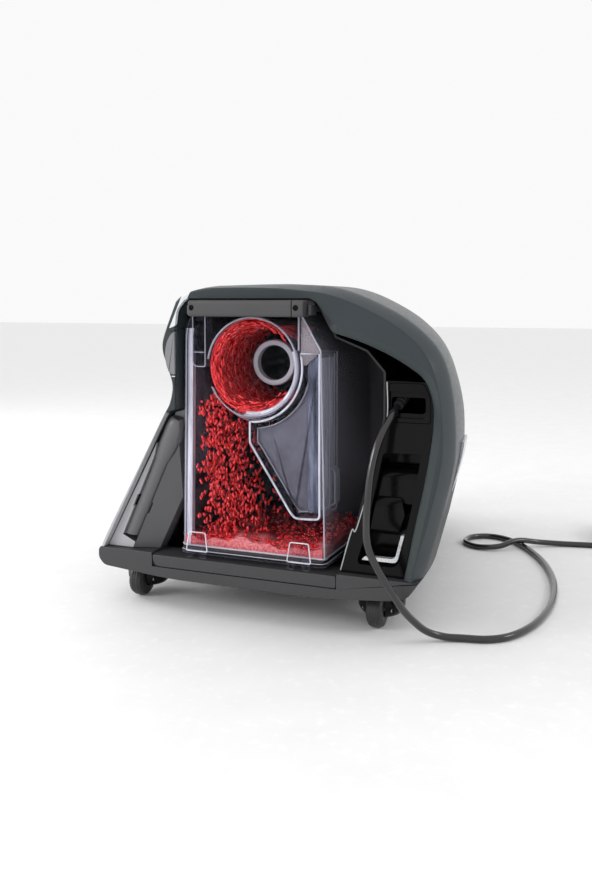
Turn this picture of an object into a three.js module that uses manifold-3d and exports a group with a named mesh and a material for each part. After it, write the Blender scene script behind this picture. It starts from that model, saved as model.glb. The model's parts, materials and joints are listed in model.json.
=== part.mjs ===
// A bagless canister vacuum cleaner on four casters.
//
// Working frame of this file, in millimetres: X runs to the right across the rear face, Y runs from
// the rear face towards the nose, Z is up from the floor. The group at the end moves the origin to
// the floor under the middle of the body.
import * as THREE from 'three';
import { mergeVertices } from 'three/addons/utils/BufferGeometryUtils.js';
import Module from 'manifold-3d';

const wasm = await Module();
wasm.setup();

// ---------------------------------------------------------------- driving dimensions
const GAP = 0.3;            // clearance between touching pieces
const LENGTH = 465;         // rear face to nose
const HEIGHT = 311;         // floor to the top of the shell
const WAIST_X = 15;         // the body narrows towards this line
const WALL = 3.5;           // shell wall
const REAR_ROUNDING = { left: 2.5, right: 7 };    // how far the rear edge is drawn in on each side
const BASE_BOTTOM = 31;
const BASE_TOP = 55;
const SILL_TOP = 53;
const SECTIONS = 12;         // sections along the body

const BIN = { left: -61, right: 85, front: 8, depth: 148, bottom: 63, top: 285.5, wall: 2.4 };
const CYCLONE = { x: 11, z: 235, outer: 46.5, wall: 2, front: 13, back: 124 };
// The vortex tube and the port behind it, a little off the drum's middle.
const OUTLET = { x: 16.5, z: 236.5 };
const VORTEX = { outer: 22, inner: 16.8, front: 52, back: 150 };
const BAR = { left: -42, right: 77, z: 289, height: 15, front: -7, back: 7 };
const CASTER = { wheelRadius: 17, wheelWidth: 15, trail: 14, hoodRadius: 28, hoodBottom: 9 };
const CASTER_SPOTS = { rear_left: [-121, 50], rear_right: [126, 50], front_left: [-40, 385],
  front_right: [70, 385] };
const BAY_BACK = 172;       // front of the wall behind the dust container
const MOTOR = { x: 8, z: 132, radius: 60, front: 190, back: 330 };
const REEL = { x: 92, y: 262, z: 122, radius: 58, width: 34 };
const NOZZLE_TILT = THREE.MathUtils.degToRad(24.4);
const HOSE_TILT = THREE.MathUtils.degToRad(32);
const CORD_RADIUS = 3.25;
const COIL = { x: 347, y: 440, middle: 39, turnsWide: 4 };
const ORIGIN = { x: 25, y: 225 };   // the floor under the middle of the body

// ---------------------------------------------------------------- materials
const plastic = (color, roughness = 0.45, metalness = 0) =>
  new THREE.MeshStandardMaterial({ color, roughness, metalness });
const clearPlastic = (color, opacity) =>
  new THREE.MeshStandardMaterial({ color, roughness: 0.06, metalness: 0, opacity, transparent: true });
const look = {
  shell: plastic(0x555d60, 0.35),
  base: plastic(0x434345, 0.6),
  handle: plastic(0x4a4a4c, 0.6),
  accessory: plastic(0x8a8d91, 0.55),
  dark: plastic(0x1c1c1e, 0.4),
  silver: plastic(0xd3d6d9, 0.25, 0.6),
  steel: plastic(0xb8bbbe, 0.3, 1),
  clear: clearPlastic(0xe6e8f4, 0.25),
  white: plastic(0xe4e4e8, 0.3),
  mesh: plastic(0xa2a3a8, 0.6, 0.3),
  rubber: plastic(0x1e1e20, 0.8),
  filter: plastic(0xdadad2, 0.9),
  copper: plastic(0xb87445, 0.4, 0.9),
};

// ---------------------------------------------------------------- solids
// A closed three.js geometry as a solid: shared corners are joined and faces turned outwards.
function solid(geometry) {
  const plain = geometry.clone();
  plain.deleteAttribute('normal');
  plain.deleteAttribute('uv');
  const merged = mergeVertices(plain, 1e-3);
  const points = merged.attributes.position.array;
  const corners = merged.index.array;
  const faces = [];
  let volume = 0;
  const [a, b, c] = [new THREE.Vector3(), new THREE.Vector3(), new THREE.Vector3()];
  for (let i = 0; i < corners.length; i += 3) {
    const [i0, i1, i2] = [corners[i], corners[i + 1], corners[i + 2]];
    if (i0 === i1 || i1 === i2 || i2 === i0) continue;
    faces.push([i0, i1, i2]);
    a.fromArray(points, i0 * 3);
    b.fromArray(points, i1 * 3);
    c.fromArray(points, i2 * 3);
    volume += a.dot(b.cross(c));
  }
  const triVerts = new Uint32Array(faces.flatMap(([i0, i1, i2]) => (volume > 0 ? [i0, i1, i2] : [i0, i2,
    i1])));
  return new wasm.Manifold(new wasm.Mesh({ numProp: 3, vertProperties: new Float32Array(points),
    triVerts }));
}

const join = (first, ...others) => others.reduce((sum, other) => sum.add(other), first);
const cut = (first, ...others) => others.reduce((rest, other) => rest.subtract(other), first);
// The main body of a cut solid, without the slivers that a curved cut leaves at its edge.
const largest = (body) =>
  body.decompose().reduce((best, part) => (part.volume() > best.volume() ? part : best));

// ---------------------------------------------------------------- outlines and extrusions
// A closed outline through the corners, each rounded by its radius (one number or one per corner).
function rounded(corners, radius) {
  const shape = new THREE.Shape();
  const points = corners.map(([x, y]) => new THREE.Vector2(x, y));
  points.forEach((corner, i) => {
    const r = Array.isArray(radius) ? radius[i] : radius;
    const before = points[(i + points.length - 1) % points.length];
    const after = points[(i + 1) % points.length];
    const inward = before.clone().sub(corner).setLength(Math.max(r, 1e-3)).add(corner);
    const outward = after.clone().sub(corner).setLength(Math.max(r, 1e-3)).add(corner);
    if (i === 0) shape.moveTo(inward.x, inward.y);
    else shape.lineTo(inward.x, inward.y);
    if (r > 0) shape.quadraticCurveTo(corner.x, corner.y, outward.x, outward.y);
  });
  shape.closePath();
  return shape;
}

const polygon = (corners) => new THREE.Shape(corners.map(([x, y]) => new THREE.Vector2(x, y)));
const rectangle = (x0, x1, y0, y1, radius = 0) => {
  const corners = [[x0, y0], [x1, y0], [x1, y1], [x0, y1]];
  return radius > 0 ? rounded(corners, radius) : polygon(corners);
};

// An XZ outline extruded along Y from near to far.
function alongY(shape, near, far, steps = 1, curveSegments = 3) {
  const geometry = new THREE.ExtrudeGeometry(shape,
    { depth: far - near, steps, curveSegments, bevelEnabled: false });
  return geometry.rotateX(Math.PI / 2).translate(0, far, 0);
}

// An XY outline extruded upwards.
const alongZ = (shape, low, high, curveSegments = 3) =>
  new THREE.ExtrudeGeometry(shape, { depth: high - low, bevelEnabled: false, curveSegments })
    .translate(0, 0, low);

// A YZ outline extruded along X.
function alongX(shape, left, right, curveSegments = 3) {
  const geometry = new THREE.ExtrudeGeometry(shape,
    { depth: right - left, bevelEnabled: false, curveSegments });
  return geometry.rotateX(Math.PI / 2).rotateZ(Math.PI / 2).translate(left, 0, 0);
}

const block = (x0, x1, y0, y1, z0, z1) =>
  solid(new THREE.BoxGeometry(x1 - x0, y1 - y0, z1 - z0).translate((x0 + x1) / 2, (y0 + y1) / 2,
    (z0 + z1) / 2));

// A turned piece: profile points are [radius, distance along the axis].
function turned(profile, axis = 'z', segments = 20) {
  const closed = profile[0][0] === 0 ? profile : [...profile, profile[0]];
  const geometry = new THREE.LatheGeometry(closed.map(([r, d]) => new THREE.Vector2(r, d)), segments);
  if (axis === 'z') geometry.rotateX(Math.PI / 2);
  if (axis === 'x') geometry.rotateZ(-Math.PI / 2);
  return geometry;
}
const disc = (radius, from, to) => [[0, from], [radius, from], [radius, to], [0, to]];
const ring = (inner, outer, from, to) => [[inner, from], [outer, from], [outer, to], [inner, to]];

// ---------------------------------------------------------------- body form
// The rear outline of the body, anticlockwise from the lower right corner.
function bodyOutline() {
  const shape = new THREE.Shape();
  const v = (x, y) => new THREE.Vector2(x, y);
  shape.moveTo(173, BASE_TOP);
  shape.lineTo(186, 100);
  shape.splineThru([v(196.5, 145), v(200, 175), v(196.5, 220), v(186, 252), v(161, 277), v(126, 296),
    v(92, 307.5), v(56, 310.7), v(26, HEIGHT), v(-25, 310)]);
  shape.quadraticCurveTo(-54, 308.5, -63, 297);
  shape.splineThru([v(-75.5, 266), v(-77.6, 251), v(-72, 234), v(-67, 217), v(-70, 200), v(-76, 190)]);
  const slope = 5;
  for (let i = 1; i <= slope; i += 1) shape.lineTo(-76 - (73 * i) / slope,
    190 - ((190 - BASE_TOP) * i) / slope);
  return shape;
}

// The base's cross-section, with its raised and bevelled ends.
const baseOutline = () =>
  polygon([[-149, 52], [-149, 44], [-143, 37], [-70, BASE_BOTTOM], [84, BASE_BOTTOM],
  [150, 37], [163, 41], [170.5, 52], [173, BASE_TOP], [-147, BASE_TOP]]);

const smooth = (low, high, value) => THREE.MathUtils.smoothstep(value, low, high);

// How far the plan has narrowed at a distance along the body: slow at first, then steady, round at the nose.
function narrowing(y) {
  const bend = 110;
  const rate = 4.87e-6;
  const lost = y < bend ? rate * y * y : rate * bend * bend + 0.00112 * (y - bend);
  const nose = Math.max(0, (y - 385) / (LENGTH + 18 - 385));
  return (1 - Math.max(lost, 0)) * Math.sqrt(Math.max(0, 1 - nose * nose));
}
// The left side starts as a waist at the rear edge and swells to match the right side further on.
const SWELL = 100;
const swelling = (y, z) => {
  const rise = THREE.MathUtils.clamp((z - BASE_TOP) / (HEIGHT - BASE_TOP), 0, 1);
  return SWELL * Math.sin(Math.PI * rise ** 1.25) * smooth(5, 220, y);
};
const lowering = (y) => 1 - 0.3 * smooth(110, 430, y) - 0.2 * smooth(390, LENGTH + 30, y);

// An outline extruded in sections that lie closer together towards both ends, where the form is rounder.
function sectioned(shape, near, far) {
  const geometry = alongY(shape, near, far, SECTIONS);
  const position = geometry.attributes.position;
  for (let i = 0; i < position.count; i += 1) {
    const part = (position.getY(i) - near) / (far - near);
    position.setY(i, near + ((far - near) * (1 - Math.cos(Math.PI * part))) / 2);
  }
  return geometry;
}

// Where a point of the rear outline lies at a distance along the body; the base only narrows.
function onForm(across, up, y, isBase = false) {
  if (isBase) return new THREE.Vector2(WAIST_X + (across - WAIST_X) * narrowing(y), up);
  const rounding = REAR_ROUNDING.left
    + (REAR_ROUNDING.right - REAR_ROUNDING.left) * THREE.MathUtils.smoothstep(across, -20, 120);
  const shrink = 1 - (rounding * (1 - Math.min(1, Math.max(0, y) / 22)) ** 1.25) / 145;
  let x = 40 + (across - 40) * shrink;
  const z = up > BASE_TOP + 1 ? 165 + (up - 165) * shrink : up;
  if (x < -40) x -= swelling(y, z);
  const high = 1 + 0.9 * smooth(185, 255, z) * Math.exp(-y / 160);
  x = WAIST_X + (x - WAIST_X) * (1 - (1 - narrowing(y)) * high);
  return new THREE.Vector2(x, BASE_TOP + (z - BASE_TOP) * (z > BASE_TOP ? lowering(y) : 1));
}

// Moves each point of a straight extrusion onto the tapered form.
function taper(geometry, isBase = false) {
  const position = geometry.attributes.position;
  for (let i = 0; i < position.count; i += 1) {
    const y = position.getY(i);
    const point = onForm(position.getX(i), position.getZ(i), y, isBase);
    position.setXYZ(i, point.x, y, point.y);
  }
  return geometry;
}

// The outline drawn in by a distance, for the inside of a wall.
function inset(shape, distance, divisions = 2) {
  const points = shape.getPoints(divisions);
  if (points[0].distanceTo(points.at(-1)) < 1e-6) points.pop();
  const moved = points.map((point, i) => {
    const before = points[(i + points.length - 1) % points.length];
    const after = points[(i + 1) % points.length];
    const along = after.clone().sub(before).normalize();
    return new THREE.Vector2(point.x - along.y * distance, point.y + along.x * distance);
  });
  return new THREE.Shape(moved);
}

const bodySolid = () => solid(taper(sectioned(inset(bodyOutline(), 0), 0, LENGTH)));

// The space inside the shell: each section of the form drawn in by the wall, and open at the bottom.
function bodyCavity() {
  const outline = inset(bodyOutline(), 0).getPoints();
  const last = outline.length - 1;
  const geometry = sectioned(new THREE.Shape(outline), 30, LENGTH - WALL);
  const position = geometry.attributes.position;
  const distance = (p, x, z) => Math.hypot(p.x - x, p.y - z);
  for (let i = 0; i < position.count; i += 1) {
    const [x, y, z] = [position.getX(i), position.getY(i), position.getZ(i)];
    const index = outline.reduce((best, p,
      k) => (distance(p, x, z) < distance(outline[best], x, z) ? k : best), 0);
    const [before, here, after] = [Math.max(index - 1, 0), index, Math.min(index + 1, last)]
      .map((k) => onForm(outline[k].x, outline[k].y, y));
    const along = after.clone().sub(before).normalize();
    here.add(new THREE.Vector2(-along.y * WALL, along.x * WALL));
    if (index === 0 || index === last) here.addScaledVector(along, (BASE_TOP - 4 - here.y) / along.y);
    position.setXYZ(i, here.x, y, here.y);
  }
  return solid(geometry);
}

// The rear opening in the shell, clear of the skin on the sloping left side.
const rearOpening = () =>
  polygon([[-143.5, BASE_TOP - 2], [158, BASE_TOP - 2], [167, 99], [178, 149], [184, 190],
  [183, 212], [176, 230], [150, 247], [120, 260], [92, 268], [79, 292], [74, 297], [-50, 297], [-59, 287],
  [-61.8, 266], [-61.8, 193], [-72, 190], [-76, 183]]);

// ---------------------------------------------------------------- pieces
const pieces = [];
function piece(name, body, material) {
  const mesh = body.getMesh();
  const geometry = new THREE.BufferGeometry();
  geometry.setAttribute('position', new THREE.BufferAttribute(new Float32Array(mesh.vertProperties), 3));
  geometry.setIndex(new THREE.BufferAttribute(new Uint32Array(mesh.triVerts), 1));
  geometry.computeVertexNormals();
  const result = new THREE.Mesh(geometry, material);
  result.name = name;
  pieces.push(result);
}
const xz = (corners, radius, near, far, segments = 3) =>
  solid(alongY(rounded(corners, radius), near, far, 1, segments));

// ---------------------------------------------------------------- base
const atCasters = (makeOne) =>
  Object.values(CASTER_SPOTS).map(([x, y]) => makeOne().translate([x, y, 0]));

function makeBase() {
  const outer = solid(taper(sectioned(baseOutline(), 0, LENGTH), true));
  const floor = BASE_BOTTOM + 5;
  const rim = BASE_TOP + 1;
  const inside = polygon([[-134, floor + 8], [-66, floor], [80, floor], [150, floor + 8], [160, rim],
    [-136, rim]]);
  const towers = atCasters(() => solid(turned(disc(29, BASE_BOTTOM - 1, 49))));
  const hollow = cut(solid(taper(sectioned(inside, 30, LENGTH - 14), true)), ...towers);
  const pockets = atCasters(() => solid(turned(disc(25, BASE_BOTTOM - 5, 45))));
  const sill = block(-89, 99, -1, 31, SILL_TOP, rim);
  const seat = xz([[-88.5, 41.5], [98.5, 41.5], [98.5, SILL_TOP + 1], [-88.5, SILL_TOP + 1]], 0, -1, 3);
  piece('base_tub', cut(outer, hollow, sill, seat, ...pockets), look.base);
  const sillCorners = [[-88, 42], [98, 42], [98, SILL_TOP], [-88, SILL_TOP]];
  piece('front_sill', xz(sillCorners, [9, 2, 1, 1], 0, 3 - GAP), look.base);
}

// ---------------------------------------------------------------- shell
// The region that a side trim covers, seen from the side; grow leaves the gap round it.
const trimRegion = (grow) =>
  rounded([[22 - grow, BASE_TOP - 1], [24 - grow, 86], [58 - grow, 168 + grow],
    [300, 132 + grow], [430, 84 + grow], [440 + grow, BASE_TOP - 1]], [0, 8, 3, 30, 12, 0]);

const stripRegion = (grow) =>
  polygon([[-68 - grow, 270 - grow], [-62.5 + grow, 272 - grow], [-36 + grow, 322], [-45 - grow, 322]]);

function makeShell() {
  const opening = solid(alongY(rearOpening(), -1, 40));
  const wall = cut(bodySolid(), bodyCavity(), opening);
  const shell = cut(wall, block(-220, 240, -1, LENGTH + 1, 0, BASE_TOP + GAP));
  const side = (left, right, grow) => solid(alongX(trimRegion(grow), left, right));
  piece('side_trim_right', shell.intersect(side(60, 240, 0)), look.base);
  piece('side_trim_left', largest(shell.intersect(side(-220, -30, 0))), look.base);
  const rest = cut(shell, side(60, 240, GAP), side(-220, -30, GAP), handlePocket(2.4), ...buttonHoles(),
    hoseHole(), exhaustHole());
  const strip = (grow) => solid(alongY(stripRegion(grow), -2, 3 + grow));
  const noseSide = (grow) => block(-23 + grow, 200, 380, LENGTH + 5, 0, 400);
  const flank = (grow) =>
    cut(solid(taper(sectioned(rectangle(-300, -48 + grow, BASE_TOP - 5, 270 + grow), -2, LENGTH + 2))),
      noseSide(grow));
  piece('silver_strip', rest.intersect(strip(0)), look.silver);
  piece('left_flank_shell', cut(rest.intersect(flank(0)), strip(GAP)), look.shell);
  piece('outer_shell', cut(rest, flank(GAP), strip(GAP)), look.shell);
}

// ---------------------------------------------------------------- carry handle in the top
const GRIP = { left: -32, right: 62, near: 92, far: 168, top: 309, bar: 14, thick: 9 };

const handlePocket = (grow) =>
  block(GRIP.left - 4 - grow, GRIP.right + 4 + grow, GRIP.near - 5 - grow, GRIP.far + 6 + grow, 290, 330);

function makeCarryHandle() {
  const { left, right, near, far, top, bar, thick } = GRIP;
  const outer = block(left - 6, right + 6, near - 7, far + 8, 291, 306);
  const hollow = block(left - 3, right + 3, near - 4, far + 5, 293.5, 310);
  piece('handle_tray', cut(outer, hollow), look.dark);
  const plan = solid(alongZ(rectangle(left, right, near, far, 10), top - thick, top));
  const window = solid(alongZ(rectangle(left + 12, right - 12, near - 5, far - bar, 6), top - thick - 1,
    top + 1));
  const notch = block(left + 12, right - 12, near - 5, near + 12, top - thick - 1, top + 1);
  piece('carry_handle', cut(plan, window, notch), look.handle);
}

// ---------------------------------------------------------------- foot buttons
const BUTTONS = { power_button: [72, 232], rewind_button: [-42, 232] };
const BUTTON_RADIUS = 19;
const shellTop = (y) => BASE_TOP + (HEIGHT - BASE_TOP) * lowering(y);

const buttonHoles = () => Object.values(BUTTONS).map(([x, y]) =>
  solid(turned(disc(BUTTON_RADIUS + 0.8, 200, 330))).translate([x, y, 0]));

function makeButtons() {
  Object.entries(BUTTONS).forEach(([name, [x, y]]) => {
    const top = shellTop(y) + 1;
    const cap = [[0, top - 16], [BUTTON_RADIUS - 5, top - 16], [BUTTON_RADIUS, top - 12],
      [BUTTON_RADIUS, top - 2.5],
      [BUTTON_RADIUS - 2.5, top], [0, top - 1]];
    piece(name, solid(turned(cap)).translate([x, y, 0]), look.silver);
  });
}

// ---------------------------------------------------------------- hose inlet in the nose
const HOSE = { x: 15, y: 408, radius: 27 };
const hosePlace = (body) =>
  body.rotate([-THREE.MathUtils.radToDeg(HOSE_TILT), 0, 0])
    .translate([HOSE.x, HOSE.y, shellTop(HOSE.y) - 8]);
const hoseHole = () => hosePlace(solid(turned(disc(HOSE.radius + 4.5, -14, 60))));

function makeHoseInlet() {
  const socket = [[20, -34], [23.5, -34], [23.5, -3], [HOSE.radius + 4, -3], [HOSE.radius + 4, 6],
    [HOSE.radius + 1, 6], [HOSE.radius + 1, 0], [20, 0]];
  piece('hose_socket', hosePlace(solid(turned(socket))), look.base);
  const collar = [[17, 0.6], [HOSE.radius + 0.4, 0.6], [HOSE.radius + 0.4, 6], [22.5, 11], [17, 11]];
  const keys = [0, 120, 240].map((angle) => block(HOSE.radius - 4, HOSE.radius - 0.5, -3, 3, 6,
    9).rotate([0, 0, angle]));
  piece('hose_swivel', hosePlace(join(solid(turned(collar)), ...keys)), look.silver);
}

// ---------------------------------------------------------------- exhaust grille on the nose
const GRILLE = { left: -14, right: 44, bottom: 74, top: 128, thick: 3.2 };
const exhaustHole = () =>
  block(GRILLE.left - 1, GRILLE.right + 1, LENGTH - 30, LENGTH + 2, GRILLE.bottom - 1, GRILLE.top + 1);

function makeExhaust() {
  const { left, right, bottom, top, thick } = GRILLE;
  const slots = [0, 1, 2, 3, 4].map((row) => block(left + 6, right - 6, LENGTH - 10, LENGTH + 1,
    bottom + 9 + row * 8, bottom + 13 + row * 8));
  piece('exhaust_cover', cut(block(left, right, LENGTH - thick, LENGTH, bottom, top), ...slots),
    look.base);
  piece('exhaust_filter', block(left + 2, right - 2, LENGTH - 28, LENGTH - 8, bottom + 2, top - 2),
    look.filter);
}

// ---------------------------------------------------------------- bay for the dust container
const INLET = { x: -34, z: 262, radius: 13 };
const bayInside = () =>
  polygon([[-88, SILL_TOP], [96, SILL_TOP], [108, 98], [132, 190], [132, 232], [116, 250], [86, 262],
  [77, 286], [66, 287.5], [-49, 287.5], [-62, 275.5], [-64.5, 107]]);
const alongYRing = (x, z, inner, outer, near, far) =>
  solid(turned(ring(inner, outer, near, far), 'y')).translate([x, 0, z]);
const alongYDisc = (x, z, radius, near, far, segments) =>
  solid(turned(disc(radius, near, far), 'y', segments)).translate([x, 0, z]);

function makeBay() {
  const wall = 2.5;
  const outer = solid(alongY(inset(bayInside(), -wall), 31, BAY_BACK + wall));
  const inside = solid(alongY(bayInside(), 30, BAY_BACK));
  const outletPort = alongYDisc(OUTLET.x, OUTLET.z, 17, BAY_BACK - 1, BAY_BACK + 4);
  const inletPort = alongYDisc(INLET.x, INLET.z, INLET.radius, BAY_BACK - 1, BAY_BACK + 4);
  piece('bay_frame', cut(outer, inside, outletPort, inletPort), look.dark);
}

// ---------------------------------------------------------------- crevice nozzle on the sloping side
const NOZZLE = { x: -117.4, y: 11, z: 66, length: 129, clipAt: 30, body: 7.4, collar: 10.2, shoulder: 86,
  collarFrom: 99 };
const nozzlePlace = (body) => body.rotate([0, THREE.MathUtils.radToDeg(NOZZLE_TILT), 0])
  .translate([NOZZLE.x, NOZZLE.y, NOZZLE.z]);

// The groove that the nozzle lies in, open towards the rear so that the nozzle pulls straight out.
function nozzleGroove(grow) {
  const { body, collar, shoulder, collarFrom, length } = NOZZLE;
  const half = [[body + grow, -2], [body + grow, shoulder], [collar + grow, collarFrom],
    [collar + grow, length + 8]];
  const mirrored = half.map(([x, z]) => [-x, z]).reverse();
  const round = solid(turned([[0, -2], ...half, [0, length + 8]]));
  return nozzlePlace(join(xz([...half, ...mirrored], 0, -30, 0), round));
}

function makeNozzleSide() {
  const { body, collar, shoulder, collarFrom, length, clipAt } = NOZZLE;
  const face = [[-141.6, 55.6], [-88.4, 55.6], [-63, 108], [-63, 191], [-71, 189], [-74.2, 183]];
  const clipPocket = nozzlePlace(solid(turned(disc(body + 2.4, clipAt - 0.5, clipAt + 12.5))));
  const slope = nozzlePlace(solid(alongZ(polygon([[body, -30], [70, -30], [70, 18], [body, -3.4]]), -40,
    170)));
  piece('accessory_panel', cut(xz(face, 0, 7.5, 30.6), nozzleGroove(0.6), clipPocket, slope),
    look.accessory);
  const openSide = block(-20, 20, -20, 0, 0, 200);
  const clip = cut(solid(turned(ring(body + 0.4, body + 1.9, clipAt, clipAt + 12))), openSide);
  piece('nozzle_clip', nozzlePlace(clip), look.dark);
  const outside = [[0, 0], [body - 0.2, 0], [body, 50], [body + 0.5, shoulder], [collar, collarFrom],
    [collar, length - 4],
    [collar - 1.4, length - 1.4], [collar - 4, length], [0, length]];
  const inside = [[0, -20], [body - 1.6, -20], [body - 1.3, shoulder], [collar - 1.6, collarFrom + 2],
    [collar - 1.6, length - 6],
    [collar - 3.4, length - 3], [collar - 3.4, length + 2], [0, length + 2]];
  const mouth = nozzlePlace(block(-20, 20, -20, 20, -16, 0).rotate([0, 24, 0]).translate([0, 0, 3]));
  const besideBin = (gap) => block(BIN.left - gap, 0, -20, 60, 100, 240);
  const shellOfNozzle = cut(nozzlePlace(solid(turned(outside))), besideBin(0.2));
  const bore = cut(nozzlePlace(solid(turned(inside))), besideBin(1.8));
  piece('crevice_nozzle', cut(shellOfNozzle, bore, mouth), look.handle);
}

// ---------------------------------------------------------------- right-hand panel and cord outlet
function makeRightPanel() {
  const face = [[141.5, 227], [142, 196], [115, 98], [110, 93.5], [99.5, 55.6], [157.3, 55.6],
    [166.4, 99], [177.4, 149],
    [183.3, 190], [182.3, 211.6], [176.6, 226.4]];
  const plateCorners = (grow) =>
    [[144.4 - grow, 191.4 - grow], [180.4 + grow, 191.4 - grow], [180.4 + grow, 212],
      [175 + grow, 225 + grow], [144.4 - grow, 225 + grow]];
  const plateHole = xz(plateCorners(0.4), 3, 0, 60);
  const pocketCorners = [[139, 164], [173, 165], [166, 126], [159, 92], [152, 64], [116, 64], [116, 69],
    [123, 91], [131, 128]];
  const pocket = solid(alongY(rounded(pocketCorners, [3, 3, 4, 4, 7, 3, 2, 3, 4]), 0, 38));
  piece('right_panel', cut(xz(face, 0, 8, 42), plateHole, pocket), look.dark);

  const plate = xz(plateCorners(0), 3, 8, 15);
  const dish = xz([[140, 195], [178, 195], [178, 218], [140, 218]], 6, 7, 11);
  const slot = xz([[145.4, 199], [175.5, 199], [175.5, 212.8], [145.4, 212.8]], 3, 7, 16);
  piece('cord_outlet', cut(plate, dish, slot), look.dark);

  const tongueSide = solid(alongX(rounded([[17, 118], [34, 118], [34, 150], [24, 150], [17, 144]],
    [2, 1, 1, 5, 4]), 120, 175));
  const tongue = xz([[130, 118], [163.4, 118], [169.4, 150], [136.8, 150]], 2, 17, 34)
    .intersect(tongueSide);
  const footSide = solid(alongX(rounded([[12, 90], [34, 88], [34, 127.5], [20, 127.5], [12, 120]],
    [12, 1, 0.5, 5, 5]), 120, 175));
  const foot = xz([[124.6, 88], [149, 88], [157.5, 110], [153, 127], [132.8, 127]], 3, 12, 34)
    .intersect(footSide);
  piece('parking_guide', join(tongue, foot), look.dark);

  const bracketOuter = [[118, 67], [150.5, 67], [157, 92], [154, 92], [148.6, 70.4], [121, 70.4]];
  piece('parking_bracket', xz(bracketOuter, [1, 4, 0.6, 0.6, 4, 1], 12, 18), look.silver);
}

// ---------------------------------------------------------------- dust container
const binOutline = () =>
  polygon([[BIN.left, BIN.bottom], [BIN.right, BIN.bottom], [83.5, 142], [81, 250], [60, BIN.top],
    [-50, BIN.top], [-58.5, 268]]);

function makeContainer() {
  const back = BIN.front + BIN.depth;
  const outer = solid(alongY(binOutline(), BIN.front, back));
  const inside = solid(alongY(inset(binOutline(), BIN.wall), BIN.front + BIN.wall, back - BIN.wall));
  const bottomHole = block(BIN.left + BIN.wall, BIN.right - BIN.wall - 0.3, BIN.front + BIN.wall,
    back - BIN.wall, BIN.bottom - 2, BIN.bottom + 4);
  const outlet = alongYDisc(OUTLET.x, OUTLET.z, 18, back - 4, back + 1);
  const inlet = alongYDisc(INLET.x, INLET.z - 2, INLET.radius, back - 4, back + 1);
  piece('container_body', cut(outer, inside, bottomHole, outlet, inlet), look.clear);

  const { x, z, outer: radius, wall, front, back: end } = CYCLONE;
  const drum = alongYRing(x, z, radius - wall, radius, front, end);
  const tubeHole = alongYDisc(OUTLET.x, OUTLET.z, VORTEX.outer + 0.5, end - 3, end + 1);
  const plate = cut(alongYDisc(x, z, radius - 1, end - 2, end), tubeHole);
  const dustExit = xz([[x, z], [x - 70, z + 8], [x - 70, z - 75], [x - 34, z - 75]], 0, front - 1,
    end - 14);
  piece('cyclone_wall', cut(join(drum, plate), dustExit), look.clear);
  piece('vortex_tube', alongYRing(OUTLET.x, OUTLET.z, VORTEX.inner, VORTEX.outer, VORTEX.front,
    VORTEX.back), look.white);
}

// The fine filter funnel hugs the cyclone from below and from the right; d draws the outline inwards.
function funnelOutline(d = 0) {
  const shape = new THREE.Shape();
  const [left, right, top, bottom] = [9 + d, 79.4 - d, 249 - d, 97 + d];
  const reach = CYCLONE.outer + 3.4 + d;
  const start = Math.asin((top - CYCLONE.z) / reach);
  const end = -Math.acos((left - CYCLONE.x) / reach);
  shape.moveTo(right, top);
  shape.absarc(CYCLONE.x, CYCLONE.z, reach, start, end, true);
  shape.lineTo(left, 165);
  shape.lineTo(left + 3, 160 + 0.3 * d);
  shape.lineTo(51 + 0.9 * d, 100 + 0.5 * d);
  shape.lineTo(56 + 0.6 * d, bottom);
  shape.lineTo(right, bottom + 1);
  return shape;
}

function makeFunnel() {
  const wall = 1.6;
  const [front, back] = [12, 58];
  const outer = solid(alongY(funnelOutline(), front, back));
  const inside = solid(alongY(funnelOutline(wall), front + wall, back - wall));
  piece('filter_funnel', cut(outer, inside, block(69.5, 77, front + 4, back - 4, 240, 255)), look.clear);
  piece('funnel_mesh', solid(alongY(funnelOutline(7.5), front + 5, front + 6.2)), look.mesh);
}

function makeLid() {
  const plan = (grow, radius) =>
    rectangle(BIN.left - grow, BIN.right + grow, BIN.front - grow, BIN.front + BIN.depth + grow, radius);
  piece('container_lid', solid(alongZ(plan(1, 8), 56, 60)), look.clear);
  const seal = cut(solid(alongZ(plan(0, 7), 60.3, 62.7)), solid(alongZ(plan(-5, 4), 59, 64)));
  piece('lid_seal', seal, look.rubber);
  [['lid_hinge_left', -50, -26], ['lid_hinge_right', 51, 76]].forEach(([name, x0, x1]) => {
    const flap = xz([[x0, 60], [x1, 60], [x1 - 2, 78], [x0 + 3, 78]], 1.5, 4, 6.6);
    const knuckle = solid(alongX(rounded([[0.5, 54], [6.6, 54], [6.6, 62], [0.5, 62]], 2), x0 + 2,
      x1 - 2));
    piece(name, join(flap, knuckle), look.clear);
  });
}

function makeContainerTop() {
  const lug = (x0, x1) => block(x0, x1, -6, 12, 283, 292);
  const beam = xz([[-46, BIN.top + 0.4], [76.8, BIN.top + 0.4], [76.8, 291], [72, 296], [-46, 296]], 0, 9,
    28);
  const pins = [[-42, -37.5], [70.5, 75]].map(([from, to]) => solid(turned(disc(2, from, to), 'x',
    10)).translate([0, -2, 287]));
  const frame = join(beam, lug(-46, -40.4), lug(73.2, 76.8), ...pins);
  piece('top_frame', cut(frame, block(-60, 100, 7.9, 40, 270, BIN.top + 0.4)), look.handle);
  const section = rounded([[-15, 281.5], [-1, 281.5], [-1, 296.3], [-15, 296.3]], [3, 2, 2, 3]);
  const bar = solid(alongX(section, BAR.left + 2, BAR.right - 4.2));
  const sockets = [-40.4, 73.2].map((x) => solid(turned(disc(2.4, -4, 4), 'x', 12)).translate([x, -2,
    287]));
  piece('container_handle', cut(bar, ...sockets), look.handle);
}

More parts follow.
